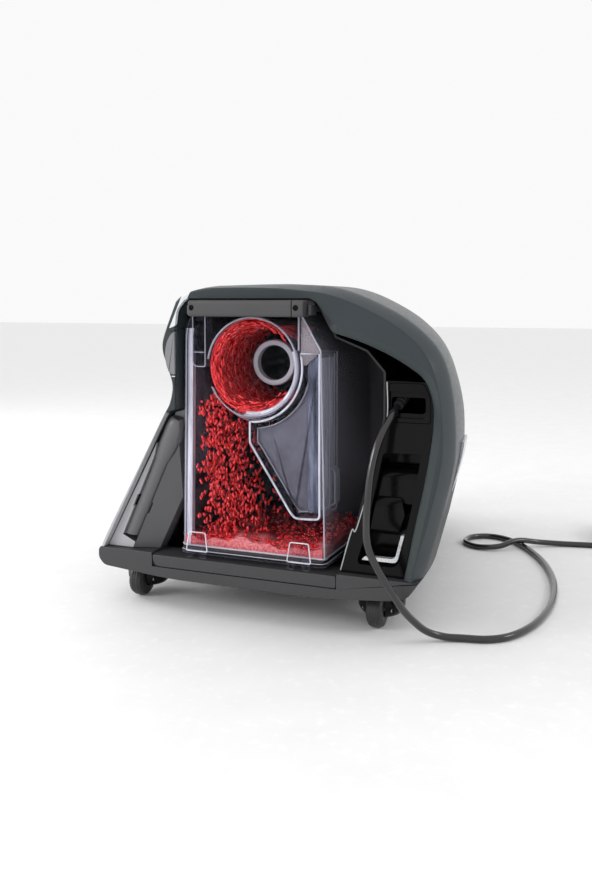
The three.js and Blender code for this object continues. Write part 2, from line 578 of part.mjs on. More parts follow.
// ---------------------------------------------------------------- air path and motor
function tubeSolid(curve, radius, sides, steps) {
  const section = new THREE.Shape(Array.from({ length: sides }, (_, i) => {
    const angle = (2 * Math.PI * i) / sides;
    return new THREE.Vector2(radius * Math.cos(angle), radius * Math.sin(angle));
  }));
  return solid(new THREE.ExtrudeGeometry(section, { steps, extrudePath: curve, curveSegments: 1 }));
}

const curveThrough = (points) =>
  new THREE.CatmullRomCurve3(points.map((p) => new THREE.Vector3(...p)), false, 'centripetal');

function makeAirPath() {
  const plenum = cut(block(-10, 44, BAY_BACK + 3, BAY_BACK + 17, 112, 262),
    block(-7, 41, BAY_BACK + 6, BAY_BACK + 14, 115, 259),
    alongYDisc(OUTLET.x, OUTLET.z, 16, BAY_BACK, BAY_BACK + 8),
      alongYDisc(MOTOR.x, MOTOR.z, 14, BAY_BACK + 10, BAY_BACK + 20));
  piece('intake_duct', plenum, look.base);
  const path = curveThrough([[INLET.x, BAY_BACK + 3, INLET.z], [INLET.x, 212, 251], [-18, 266, 230],
    [0, 312, 202], [11, 343, 176], [15, 368, 173], [15, 388.8, 192]]);
  const duct = cut(tubeSolid(path, 12.5, 10, 12), tubeSolid(path, 10.5, 10, 12));
  piece('inlet_duct', duct, look.base);
}

function makeMotor() {
  const { x, z, radius, front, back } = MOTOR;
  const at = (profile, segments = 24) => solid(turned(profile, 'y', segments)).translate([x, 0, z]);
  const cup = [[16, front + 3], [radius, front + 3], [radius, back - 30], [radius - 3, back - 30],
    [radius - 3, front + 6], [16, front + 6]];
  piece('motor_housing', at(cup), look.base);
  piece('motor_seal', at(ring(16, 23, front - 0.7, front + 2.7)), look.rubber);
  const rotor = [[0, front + 9], [14, front + 9], [50, front + 14], [50, front + 22], [6, front + 26],
    [6, front + 34],
    [26, front + 34], [26, front + 90], [6, front + 90], [6, front + 100], [0, front + 100]];
  piece('motor_fan', at(rotor), look.steel);
  piece('motor_stator', at(ring(29, 52, front + 32, front + 92)), look.copper);
}

// ---------------------------------------------------------------- cord reel
function makeReel() {
  const { x, y, z, radius, width } = REEL;
  const half = width / 2;
  const profile = [[6, -half], [radius, -half], [radius, -half + 2.5], [27, -half + 2.5],
    [27, half - 2.5], [radius, half - 2.5], [radius, half], [6, half]];
  piece('cable_reel', solid(turned(profile, 'x', 24)).translate([x, y, z]), look.dark);
  const axle = solid(turned(disc(5.5, -half - 3, half + 4), 'x', 16)).translate([x, y, z]);
  const plate = block(x + half + 1.5, x + half + 4.5, y - 20, y + 20, 47, z + 10);
  piece('reel_bracket', join(axle, plate), look.steel);
}

// ---------------------------------------------------------------- casters
function makeCasters() {
  const { wheelRadius: r, wheelWidth: w, trail, hoodRadius, hoodBottom } = CASTER;
  const half = w / 2;
  Object.entries(CASTER_SPOTS).forEach(([spot, [x, y]]) => {
    const hoodProfile = [[0, hoodBottom], [hoodRadius - 6, hoodBottom], [hoodRadius - 1, hoodBottom + 5],
      [hoodRadius, 20],
      [hoodRadius, BASE_BOTTOM - 0.6], [24.4, BASE_BOTTOM - 0.6], [24.4, 44.4], [0, 44.4]];
    const slot = block(-half - 0.8, half + 0.8, -trail - r - 3, -trail + r + 1, -1, 2 * r + 1);
    const axleHole = solid(turned(disc(2.9, -15, 15), 'x', 12)).translate([0, -trail, r]);
    piece(`${spot}_swivel`, cut(solid(turned(hoodProfile)), slot, axleHole).translate([x, y, 0]),
      look.dark);
    const tyre = [[2.9, -half], [r - 5, -half], [r - 1.6, -half + 1.4], [r, -half + 4.5], [r, half - 4.5],
      [r - 1.6, half - 1.4], [r - 5, half], [2.9, half]];
    piece(`${spot}_wheel`, solid(turned(tyre, 'x', 24)).translate([x, y - trail, r]), look.rubber);
    piece(`${spot}_axle`, solid(turned(disc(2.5, -14, 14), 'x', 12)).translate([x, y - trail, r]),
      look.steel);
  });
}

// ---------------------------------------------------------------- power cord
// From the outlet the cord bows out over the panel, reaches the floor beside the body, makes a loop
// behind it and runs off to the right, where the rest is coiled with the plug on top.
const CORD_ROUTE = [
  [150, 12, 204], [148, 2, 197], [143, -8, 184], [139, -15, 169], [136, -20, 149], [135, -24, 128],
    [134.5, -26, 111],
  [135, -26, 95], [138, -25, 83], [143, -23, 72], [149, -20, 60], [155, -15, 48], [161, -7, 34],
    [168, 2, 22], [177, 12, 11],
  [190, 22, 4.6], [207, 28, 3.4], [226, 33, 3.4], [243, 48, 3.4], [257, 80, 3.4], [265, 125, 3.4],
    [266, 175, 3.4],
  [259, 232, 3.4], [243, 288, 3.4], [221, 334, 3.4], [196, 368, 3.4], [168, 380, 3.4], [147, 367, 3.4],
    [144, 343, 3.4],
  [161, 326, 3.4], [186, 328, 5.5], [206, 345, 10.4], [228, 364, 6], [256, 377, 3.4], [288, 383.5, 3.4],
    [320, 387, 3.4],
];

function makeCord() {
  const route = curveThrough(CORD_ROUTE);
  piece('cord_tube', tubeSolid(route, CORD_RADIUS, 8, 78), look.rubber);
  const halfWide = COIL.turnsWide * CORD_RADIUS;
  const section = [[COIL.middle - halfWide, 0], [COIL.middle + halfWide, 0],
    [COIL.middle + halfWide, 8 * CORD_RADIUS], [COIL.middle - halfWide, 8 * CORD_RADIUS]];
  piece('cord_coil', solid(turned(section, 'z', 32)).translate([COIL.x, COIL.y, 0]), look.rubber);

  const top = 8 * CORD_RADIUS + GAP;
  const plugY = COIL.y + COIL.middle;
  const body = solid(alongZ(rounded([[-20, -13], [14, -13], [20, -6], [20, 6], [14, 13], [-20, 13]], 4),
    0, 17));
  const relief = solid(turned([[0, 18], [5, 18], [3.6, 42], [0, 42]], 'x', 12)).translate([0, 0, 8.5]);
  const pins = [-9.5, 9.5].map((y) => solid(turned(disc(2.4, -39, -19), 'x', 12)).translate([0, y, 8.5]));
  piece('plug', join(body, relief, ...pins).translate([COIL.x - 6, plugY, top]), look.rubber);

  const from = new THREE.Vector3(150.6, 13.5, 204.8);
  const outward = new THREE.Vector3(-0.1, -0.87, -0.48).normalize();
  const cone = turned([[0, -24], [6, -24], [6, -18], [4.4, 0], [0, 0]], 'y', 16);
  cone.applyQuaternion(new THREE.Quaternion().setFromUnitVectors(new THREE.Vector3(0, 1, 0), outward));
  piece('cord_gland', solid(cone.translate(from.x, from.y, from.z)), look.rubber);
}

// ---------------------------------------------------------------- assembly
makeBase();
makeShell();
makeCarryHandle();
makeButtons();
makeHoseInlet();
makeExhaust();
makeBay();
makeNozzleSide();
makeRightPanel();
makeContainer();
makeFunnel();
makeLid();
makeContainerTop();
makeAirPath();
makeMotor();
makeReel();
makeCasters();
makeCord();

const vacuum = new THREE.Group();
vacuum.add(...pieces);
vacuum.position.set(-ORIGIN.x, -ORIGIN.y, 0);

export default vacuum;
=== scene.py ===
import json
import math
import random

import bmesh
import bpy
from mathutils import Matrix, Vector


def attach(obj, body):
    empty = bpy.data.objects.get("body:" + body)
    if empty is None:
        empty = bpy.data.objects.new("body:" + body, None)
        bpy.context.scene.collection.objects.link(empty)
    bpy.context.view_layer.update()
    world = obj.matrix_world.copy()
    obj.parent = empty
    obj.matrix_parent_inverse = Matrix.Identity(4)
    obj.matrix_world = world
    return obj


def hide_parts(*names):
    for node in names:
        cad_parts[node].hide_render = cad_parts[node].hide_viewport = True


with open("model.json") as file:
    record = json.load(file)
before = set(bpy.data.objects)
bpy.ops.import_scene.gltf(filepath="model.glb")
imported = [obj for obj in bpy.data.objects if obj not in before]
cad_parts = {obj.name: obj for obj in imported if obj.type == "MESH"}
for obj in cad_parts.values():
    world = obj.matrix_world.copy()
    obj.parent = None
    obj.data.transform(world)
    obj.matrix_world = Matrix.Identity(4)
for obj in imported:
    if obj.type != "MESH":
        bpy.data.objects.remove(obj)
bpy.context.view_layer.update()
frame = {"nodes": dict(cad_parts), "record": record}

scene = bpy.context.scene
record = frame["record"]
BODY_OF = {node: body for body, nodes in record["behaviour"]["bodies"].items() for node in nodes}

# ------------------------------------------------------------------ driving sizes
ORIGIN = Vector((25, 225, 0))  # where the row frame's origin lies in the working frame
CAMERA = dict(place=(361, -743.6, 296), yaw=22, pitch=2.5, lens=36.7, shift_y=-0.117)
LENGTH = 465
HEIGHT = 311
WAIST_X = 15
WALL = 3.5
BASE_BOTTOM = 31
BASE_TOP = 55
SILL_TOP = 53
SEAM = 0.5                    # visible gap between neighbouring mouldings
BIN = dict(left=-61, right=85, front=8, back=156, bottom=63, top=285.5, wall=2.4)
BIN_LEFT = [(63, BIN["left"]), (268, -58.5), (BIN["top"], -50)]
BIN_RIGHT = [(63, BIN["right"]), (142, 83.5), (250, 81), (BIN["top"], 60)]
CYCLONE = dict(x=11, z=235, outer=46.5, front=13, back=124)
OUTLET = dict(x=16.5, z=236.5)
VORTEX = dict(outer=22, inner=16.8, front=52, back=150)
FILTER = dict(left=9, right=79.4, bottom=97, top=249, front=12, back=58, wall=1.6)
GRAB_BAR_PIVOT = (-2, 287)     # Y and Z of its pins
GRAB_BAR_SCREWS = (-36.4, 66.0)
SCREW_Z = 289.6
CASTER_SPOTS = dict(rear_left=(-121, 50), rear_right=(126, 50), front_left=(-40, 385),
                    front_right=(70, 385))
CORD_DIAMETER = 6.5
COIL = dict(x=347, y=440, middle=39, turns_wide=4, turns_high=4)


def metres(point):
    return (Vector(point) - ORIGIN) / 1000


# ------------------------------------------------------------------ camera
def make_camera():
    """Looks at the rear face from its right, slightly downwards, from 1 m away."""
    yaw, pitch = math.radians(CAMERA["yaw"]), math.radians(CAMERA["pitch"])
    aim = Vector((-math.sin(yaw) * math.cos(pitch), math.cos(yaw) * math.cos(pitch), -math.sin(pitch)))
    data = bpy.data.cameras.new("camera")
    data.lens = CAMERA["lens"]
    data.sensor_width = 36
    data.shift_y = CAMERA["shift_y"]
    data.clip_start = 0.01
    camera = bpy.data.objects.new("camera", data)
    camera.location = metres(CAMERA["place"])
    camera.rotation_euler = aim.to_track_quat("-Z", "Y").to_euler()
    scene.collection.objects.link(camera)
    scene.camera = camera


# ------------------------------------------------------------------ materials
class Nodes:
    """A short way to write a node tree: nodes.add(type, input=value or socket, ...)."""

    def __init__(self, name):
        self.material = bpy.data.materials.new(name)
        self.material.use_nodes = True
        self.tree = self.material.node_tree
        self.tree.nodes.clear()

    def add(self, kind, settings=None, **inputs):
        node = self.tree.nodes.new(kind)
        for key, value in (settings or {}).items():
            setattr(node, key, value)
        for key, value in inputs.items():
            by_index = key[0] == "i" and key[1:].isdigit()
            self.feed(node.inputs[int(key[1:]) if by_index else key.replace("_", " ")], value)
        return node

    def feed(self, socket, value):
        """Links a socket to another one, or sets its value."""
        if isinstance(value, bpy.types.NodeSocket):
            self.tree.links.new(value, socket)
        else:
            socket.default_value = value

    def place(self):
        return self.add("ShaderNodeTexCoord").outputs["Object"]

    def noise(self, scale, detail=2, roughness=0.5, where=None):
        return self.add("ShaderNodeTexNoise", Vector=where or self.place(), Scale=scale,
                        Detail=detail, Roughness=roughness)

    def between(self, value, low, high, start=0.0, end=1.0):
        """value's start..end range becomes low..high."""
        node = self.add("ShaderNodeMapRange", i0=value, i1=start, i2=end, i3=low, i4=high)
        return node.outputs["Result"]

    def blend(self, share, first, second):
        """A colour from first to second by share."""
        node = self.add("ShaderNodeMix", {"data_type": "RGBA"})
        for index, value in ((0, share), (6, first), (7, second)):
            self.feed(node.inputs[index], value)
        return node.outputs[2]

    def bump(self, height, strength, distance):
        node = self.add("ShaderNodeBump", Height=height, Strength=strength, Distance=distance)
        return node.outputs["Normal"]

    def output(self, shader):
        self.add("ShaderNodeOutputMaterial", Surface=shader.outputs[0])
        return self.material

    def veil(self, share, tint, shader):
        """Finishes a partly see-through material: a share of the shader over a clear tint."""
        see_through = self.add("ShaderNodeBsdfTransparent", Color=(*tint, 1))
        return self.output(self.add("ShaderNodeMixShader", i0=share, i1=see_through.outputs[0],
                                    i2=shader.outputs[0]))


def shade(colour, factor):
    return (*(min(1, c * factor) for c in colour), 1)


def plastic(name, colour, roughness, grain=1500, depth=0.25, metallic=0.0, coat=0.0, mottle=0.12,
            specular=0.5):
    """Moulded plastic: a fine eroded grain, faint rubbing marks and a slightly uneven colour."""
    n = Nodes(name)
    fine = n.noise(grain, 3, 0.6)
    slow = n.noise(22, 3)
    marks = n.noise(240, 6, 0.75)
    colour_share = n.between(slow.outputs["Fac"], 0, 1, 0.3, 0.7)
    base = n.blend(colour_share, shade(colour, 1 - mottle), shade(colour, 1 + mottle))
    speck = n.between(fine.outputs["Fac"], 0, 0.5, 0.55, 0.8)
    tint = n.blend(speck, base, shade(colour, 1.35))
    gloss = n.between(marks.outputs["Fac"], roughness - 0.05, roughness + 0.08, 0.35, 0.7)
    shader = n.add("ShaderNodeBsdfPrincipled", Base_Color=tint, Roughness=gloss, Metallic=metallic,
                   Normal=n.bump(fine.outputs["Fac"], depth, 0.0001))
    shader.inputs["Coat Weight"].default_value = coat
    shader.inputs["Coat Roughness"].default_value = 0.08
    shader.inputs["Specular IOR Level"].default_value = specular
    return n.output(shader)


def clear_plastic(name, tint, body, haze, shine=1.0, roughness=0.04):
    """Thin clear plastic: see-through face on, brighter where it turns away, scratched and hazy."""
    n = Nodes(name)
    scratches = n.noise(300, 8, 0.8)
    facing = n.add("ShaderNodeLayerWeight", Blend=0.35).outputs["Facing"]
    edge = n.between(facing, haze, min(1, haze + 0.55 * shine), 0.35, 1.0)
    mist = n.between(scratches.outputs["Fac"], 0, 0.05 * shine, 0.5, 0.75)
    share = n.add("ShaderNodeMath", {"operation": "ADD"}, i0=edge, i1=mist).outputs[0]
    gloss = n.between(scratches.outputs["Fac"], roughness, roughness + 0.06, 0.4, 0.7)
    solid_part = n.add("ShaderNodeBsdfPrincipled", Base_Color=(*body, 1), Roughness=gloss,
                       Normal=n.bump(n.noise(35, 2).outputs["Fac"], 0.12, 0.002))
    solid_part.inputs["Specular IOR Level"].default_value = 0.9
    return n.veil(share, tint, solid_part)


THREAD_SPACING = 0.0008        # metres


def woven_mesh(name, colour):
    """A fine woven filter mesh: crossed threads 0.8 mm apart, partly see-through."""
    n = Nodes(name)
    where = n.add("ShaderNodeMapping", Vector=n.place(), Rotation=(0, math.radians(20), 0)).outputs[0]
    axes = n.add("ShaderNodeSeparateXYZ", Vector=where)
    threads = []
    for axis in ("X", "Z"):
        turn = n.add("ShaderNodeMath", {"operation": "MULTIPLY"}, i0=axes.outputs[axis],
                     i1=2 * math.pi / THREAD_SPACING)
        wave = n.add("ShaderNodeMath", {"operation": "SINE"}, i0=turn.outputs[0])
        threads.append(wave.outputs[0])
    height = n.add("ShaderNodeMath", {"operation": "MAXIMUM"}, i0=threads[0], i1=threads[1]).outputs[0]
    thread_share = n.between(height, 0.45, 0.92, -0.6, 0.8)
    tone = n.noise(60, 3)
    colour_now = n.blend(n.between(tone.outputs["Fac"], 0, 1, 0.3, 0.7), shade(colour, 0.8),
                         shade(colour, 1.15))
    cloth = n.add("ShaderNodeBsdfPrincipled", Base_Color=colour_now, Roughness=0.5,
                  Normal=n.bump(height, 0.6, 0.0002))
    return n.veil(thread_share, (1, 1, 1), cloth)


def dust_beads(name):
    """Bright red plastic granules, each a little lighter or darker."""
    n = Nodes(name)
    tone = n.noise(420, 1)
    share = n.between(tone.outputs["Fac"], 0, 1, 0.35, 0.65)
    colour = n.blend(share, (0.62, 0.005, 0.007, 1), (1.0, 0.03, 0.032, 1))
    rough = n.between(n.noise(2500, 2).outputs["Fac"], 0.2, 0.4, 0.3, 0.7)
    shader = n.add("ShaderNodeBsdfPrincipled", Base_Color=colour, Roughness=rough)
    shader.inputs["Coat Weight"].default_value = 0.5
    return n.output(shader)


def powder(name):
    """Fine dust with coarser specks: pinkish at the container's front face, deep red behind it."""
    n = Nodes(name)
    specks = n.noise(520, 5, 0.7)
    tone = n.between(specks.outputs["Fac"], 0, 1, 0.42, 0.62)
    patches = n.between(n.noise(60, 3).outputs["Fac"], 0, 1, 0.35, 0.65)
    pale = n.blend(patches, (0.66, 0.17, 0.18, 1), (0.82, 0.33, 0.33, 1))
    pink_and_red = n.blend(tone, pale, (0.66, 0.05, 0.06, 1))
    depth = n.add("ShaderNodeSeparateXYZ", Vector=n.place()).outputs["Y"]
    colour = n.blend(n.between(depth, 0, 1, -0.196, -0.178), pink_and_red, (0.30, 0.008, 0.010, 1))
    shader = n.add("ShaderNodeBsdfPrincipled", Base_Color=colour, Roughness=0.8,
                   Normal=n.bump(specks.outputs["Fac"], 0.8, 0.0006))
    return n.output(shader)


def glare(name, colour, low, high):
    """Painted highlight on clear plastic, where it would catch a window's light: bright upright streaks
    with gaps between.
    """
    n = Nodes(name)
    stretched = n.add("ShaderNodeMapping", Vector=n.place(), Scale=(1, 1, 0.12)).outputs[0]
    streaks = n.noise(140, 3, 0.6, stretched)
    share = n.between(streaks.outputs["Fac"], low, high, 0.35, 0.65)
    shader = n.add("ShaderNodeBsdfPrincipled", Base_Color=(*colour, 1),
                   Roughness=n.between(n.noise(500, 3).outputs["Fac"], 0.1, 0.25),
                   Normal=n.bump(streaks.outputs["Fac"], 0.1, 0.001))
    return n.veil(share, (0.97, 0.97, 1), shader)


MATERIALS = {
    "shell": plastic("shell_plastic", (0.036, 0.045, 0.049), 0.33, grain=2600, depth=0.04,
                     mottle=0.05, specular=0.22),
    "facet": plastic("shell_facet_plastic", (0.020, 0.030, 0.032), 0.34, grain=2600, depth=0.04,
                     mottle=0.05),
    "base": plastic("base_plastic", (0.036, 0.036, 0.038), 0.50, grain=1500, depth=0.35, mottle=0.06),
    "handle": plastic("handle_plastic", (0.045, 0.045, 0.047), 0.48, grain=1300, depth=0.6,
                      mottle=0.08),
    "accessory": plastic("accessory_plastic", (0.40, 0.405, 0.42), 0.5, grain=1500, depth=0.3,
                         mottle=0.05),
    "waist": plastic("waist_plastic", (0.19, 0.195, 0.205), 0.45, grain=1500, depth=0.2, mottle=0.05),
    # Painted shade: a darker copy of the accessory plastic for the panel's slope right of the nozzle, which
    # faces away from the light.
    "accessory_painted_shade": plastic("accessory_painted_shade_plastic", (0.075, 0.076, 0.080), 0.5, grain=1500,
                               depth=0.3, mottle=0.05),
    "nozzle": plastic("nozzle_plastic", (0.105, 0.106, 0.110), 0.42, grain=2000, depth=0.15,
                      mottle=0.05),
    "dark": plastic("dark_plastic", (0.0030, 0.0030, 0.0033), 0.14, grain=2600, depth=0.02,
                    mottle=0.05, specular=0.14),
    "bay": plastic("bay_plastic", (0.005, 0.005, 0.006), 0.34, grain=2600, depth=0.03, mottle=0.05),
    "silver": plastic("silver_plastic", (0.62, 0.64, 0.66), 0.28, grain=3000, depth=0.05,
                      metallic=0.55, mottle=0.05),
    "pearl": plastic("pearl_plastic", (0.66, 0.68, 0.70), 0.35, grain=3000, depth=0.05, mottle=0.05),
    "steel": plastic("steel", (0.52, 0.53, 0.55), 0.3, grain=900, depth=0.1, metallic=1.0, mottle=0.08),
    "copper": plastic("copper_winding", (0.60, 0.27, 0.13), 0.35, grain=700, depth=0.4, metallic=0.9),
    "white": plastic("white_ring_plastic", (0.52, 0.53, 0.57), 0.3, grain=2500, depth=0.05,
                     mottle=0.06),
    "rubber": plastic("rubber", (0.014, 0.014, 0.015), 0.5, grain=1700, depth=0.3),
    "tread": plastic("wheel_tread", (0.018, 0.018, 0.019), 0.42, grain=1200, depth=0.4),
    "cord": plastic("cord_jacket", (0.010, 0.010, 0.011), 0.20, grain=2400, depth=0.06, coat=0.4),
    "filter": plastic("filter_paper", (0.62, 0.61, 0.55), 0.85, grain=900, depth=0.7),
    "clear": clear_plastic("clear_plastic", (0.975, 0.972, 0.99), (0.62, 0.64, 0.74), 0.0),
    # Painted highlight: a paler, milky copy of the clear plastic for rims, lips and lines, standing in for
    # the light piped along clear edges.
    "clear_edge_highlight": clear_plastic("clear_plastic_edge_highlight", (0.88, 0.88, 0.94), (0.84, 0.85, 0.92), 0.35,
                                shine=1.1),
    "clear_frost": clear_plastic("clear_plastic_frosted", (0.95, 0.90, 0.92), (0.80, 0.74, 0.77),
                                 0.25, roughness=0.2),
    # Painted highlights and painted reflections on clear plastic, full and soft.
    "glare": glare("clear_plastic_lit", (0.86, 0.88, 0.95), 0.45, 0.95),
    "glare_soft": glare("clear_plastic_half_lit", (0.50, 0.56, 0.70), 0.08, 0.45),
    "mesh": woven_mesh("filter_mesh", (0.22, 0.22, 0.25)),
    "beads": dust_beads("dust_granules"),
    "powder": powder("fine_dust"),
}


# ------------------------------------------------------------------ outlines
def bend(start, corner, end, t):
    """The point at share t of the curve that rounds a corner."""
    return start * (1 - t) ** 2 + corner * 2 * t * (1 - t) + end * t * t


def rounded(corners, radius, steps=5):
    """A closed outline through the corners, each rounded by its radius (one number or one per corner)."""
    points = [Vector(c) for c in corners]
    result = []
    for i, corner in enumerate(points):
        r = radius[i] if isinstance(radius, (list, tuple)) else radius
        if r <= 0:
            result.append(tuple(corner))
            continue
        start = corner + (points[i - 1] - corner).normalized() * r
        end = corner + (points[(i + 1) % len(points)] - corner).normalized() * r
        for k in range(steps + 1):
            t = k / steps
            result.append(tuple(bend(start, corner, end, t)))
    return result


def rectangle(x0, x1, y0, y1, radius=0, steps=5):
    return rounded([(x0, y0), (x1, y0), (x1, y1), (x0, y1)], radius, steps)


def around(centre, radius, angle):
    """The point at an angle, in radians, on a circle."""
    return centre[0] + radius * math.cos(angle), centre[1] + radius * math.sin(angle)


def turning(outline):
    """Plus 1 for an anticlockwise outline and minus 1 for a clockwise one."""
    area = sum(a[0] * b[1] - b[0] * a[1] for a, b in zip(outline, outline[1:] + outline[:1]))
    return 1 if area > 0 else -1


def inset(outline, distance):
    """The outline drawn in by a distance, corner by corner; one distance, or one for each corner."""
    side = turning(outline)
    points = [Vector(p) for p in outline]
    result = []
    for i, point in enumerate(points):
        d = distance[i] if isinstance(distance, (list, tuple)) else distance
        before = (point - points[i - 1]).normalized()
        after = (points[(i + 1) % len(points)] - point).normalized()
        inward_before = Vector((-before.y, before.x)) * side
        inward_after = Vector((-after.y, after.x)) * side
        middle = inward_before + inward_after
        scale = 2 / max(middle.length_squared, 0.5)
        result.append(tuple(point + middle * (d * scale)))
    return result


def spline(points, steps):
    """A smooth line through the points, without its first one."""
    vectors = [Vector(p) for p in points]
    result = []
    for i in range(len(vectors) - 1):
        p0, p1, p2 = vectors[max(i - 1, 0)], vectors[i], vectors[i + 1]
        p3 = vectors[min(i + 2, len(vectors) - 1)]
        v0, v1 = (p2 - p0) / 2, (p3 - p1) / 2
        for k in range(1, steps + 1):
            t = k / steps
            cubic, square = 2 * p1 - 2 * p2 + v0 + v1, -3 * p1 + 3 * p2 - 2 * v0 - v1
            result.append(tuple(cubic * t ** 3 + square * t * t + v0 * t + p1))
    return result


# ------------------------------------------------------------------ solids
def solid(verts, faces):
    """A closed mesh object from points in millimetres, with its faces turned outwards."""
    mesh = bpy.data.meshes.new("solid")
    mesh.from_pydata([metres(v) for v in verts], [], faces)
    tidy_mesh(mesh)
    obj = bpy.data.objects.new("solid", mesh)
    scene.collection.objects.link(obj)
    return obj


def tidy_mesh(mesh, merge=2e-6):
    form = bmesh.new()
    form.from_mesh(mesh)
    bmesh.ops.remove_doubles(form, verts=form.verts, dist=merge)
    bmesh.ops.dissolve_degenerate(form, edges=form.edges, dist=merge)
    bmesh.ops.recalc_face_normals(form, faces=form.faces)
    form.to_mesh(mesh)
    form.free()


def loft(sections, capped=True):
    """A solid through equal closed sections: capped at both ends, or the last joined to the first."""
    count, rows = len(sections[0]), len(sections)
    verts = [p for section in sections for p in section]
    faces = []
    for row in range(rows - 1 if capped else rows):
        a, b = row * count, ((row + 1) % rows) * count
        faces += [(a + i, a + (i + 1) % count, b + (i + 1) % count, b + i) for i in range(count)]
    if capped:
        faces += [tuple(range(count)), tuple(range((rows - 1) * count, rows * count))]
    return solid(verts, faces)


def lay(outline, along, axis):
    """The outline's points in space, at a distance along the axis."""
    if axis == "x":
        return [(along, u, v) for u, v in outline]
    if axis == "y":
        return [(u, along, v) for u, v in outline]
    return [(u, v, along) for u, v in outline]


def rounded_end(outline, end, edge, axis, steps=3):
    """The sections of an extrusion's rounded end, from its tip inwards; edge is negative at the far end."""
    sections = []
    for k in range(steps if edge else 0):
        t = math.pi / 2 * k / steps
        drawn = inset(outline, abs(edge) * (1 - math.sin(t)))
        sections.append(lay(drawn, end + edge * (1 - math.cos(t)), axis))
    return sections + [lay(outline, end + edge, axis)]


def prism(outline, near, far, axis="y", edge=0.0, far_edge=None):
    """An outline extruded along an axis, with rounded ends."""
    far_edge = edge if far_edge is None else far_edge
    far_end = rounded_end(outline, far, -far_edge, axis)
    return loft(rounded_end(outline, near, edge, axis) + far_end[::-1])


def block(x0, x1, y0, y1, z0, z1, edge=0.0):
    return prism(rectangle(x0, x1, z0, z1, edge), y0, y1, "y", edge)


def turned(profile, axis="z", centre=(0, 0, 0), segments=72, rotation=None):
    """A turned solid: the profile's points are (radius, distance along the axis)."""
    verts = []
    for k in range(segments):
        angle = 2 * math.pi * k / segments
        c, s = math.cos(angle), math.sin(angle)
        for r, d in profile:
            point = Vector({"x": (d, r * c, r * s), "y": (r * c, d, r * s), "z": (r * c, r * s, d)}[axis])
            verts.append((rotation @ point if rotation else point) + Vector(centre))
    count = len(profile)
    open_ends = profile[0][0] == 0 and profile[-1][0] == 0
    faces = []
    for row in range(segments):
        a, b = row * count, ((row + 1) % segments) * count
        for i in range(count - 1 if open_ends else count):
            j = (i + 1) % count
            faces.append((a + i, a + j, b + j, b + i))
    return solid(verts, faces)


def path_frames(points, closed=False):
    """Each point with two directions across the path, carried along without twisting."""
    count = len(points)
    frames = []
    up = None
    for i, point in enumerate(points):
        if closed:
            along = (points[(i + 1) % count] - points[i - 1]).normalized()
        else:
            along = (points[min(i + 1, count - 1)] - points[max(i - 1, 0)]).normalized()
        if up is None:
            up = along.orthogonal().normalized()
        up = (up - along * up.dot(along)).normalized()
        frames.append((point, up, along.cross(up)))
    return frames


def ring(centre, up, side, radius, count):
    angles = [2 * math.pi * k / count for k in range(count)]
    return [centre + (up * math.cos(a) + side * math.sin(a)) * radius for a in angles]


def tube(points, radius, sides=20, closed=False):
    """A round bar along the points."""
    frames = path_frames([Vector(p) for p in points], closed)
    sections = [ring(point, up, side, radius, sides) for point, up, side in frames]
    return loft(sections, capped=not closed)


def evaluated(obj):
    """A fresh mesh of the object with its modifiers applied."""
    bpy.context.view_layer.update()
    depsgraph = bpy.context.evaluated_depsgraph_get()
    return bpy.data.meshes.new_from_object(obj.evaluated_get(depsgraph))


def remove(obj):
    mesh = obj.data
    bpy.data.objects.remove(obj)
    if not mesh.users:
        bpy.data.meshes.remove(mesh)


def combine(target, operation, *others):
    """Joins, cuts or intersects target with the others, which are used up."""
    for other in others:
        modifier = target.modifiers.new("combine", "BOOLEAN")
        modifier.operation = operation
        modifier.solver = "MANIFOLD"
        modifier.object = other
        mesh = evaluated(target)
        target.modifiers.clear()
        old = target.data
        target.data = mesh
        bpy.data.meshes.remove(old)
        remove(other)
    return target


def cut(target, *others):
    return combine(target, "DIFFERENCE", *others)


def join(target, *others):
    return combine(target, "UNION", *others)


def common(target, other):
    return combine(target, "INTERSECT", other)


def copy_of(obj):
    twin = bpy.data.objects.new("solid", obj.data.copy())
    scene.collection.objects.link(twin)
    return twin


def finish(obj, name, look, node=None, body=None, bevel=0.0, angle=32, segments=2):
    """Names a solid, gives it its material, rounds its edges and ties it to its body.

    It stands for a CAD node, or it's an extra piece with a body of its own.
    """
    obj.name = name
    obj.data.name = name
    obj.data.materials.clear()
    obj.data.materials.append(MATERIALS[look])
    obj.data.shade_smooth()
    if bevel:
        modifier = obj.modifiers.new("rounded_edges", "BEVEL")
        modifier.width = bevel / 1000
        modifier.segments = segments
        modifier.limit_method = "ANGLE"
        modifier.angle_limit = math.radians(angle)
        modifier.miter_outer = "MITER_ARC"
        mesh = evaluated(obj)
        obj.modifiers.clear()
        obj.data = mesh
    obj.data.set_sharp_from_angle(angle=math.radians(angle))
    weighted = obj.modifiers.new("even_shading", "WEIGHTED_NORMAL")
    weighted.keep_sharp = True
    if node:
        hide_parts(node)
    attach(obj, body or BODY_OF[node])
    return obj


def bin_piece(obj, name, look, angle=32):
    """A detail of the dust container that has no CAD node of its own."""
    return finish(obj, name, look, body="container", angle=angle)


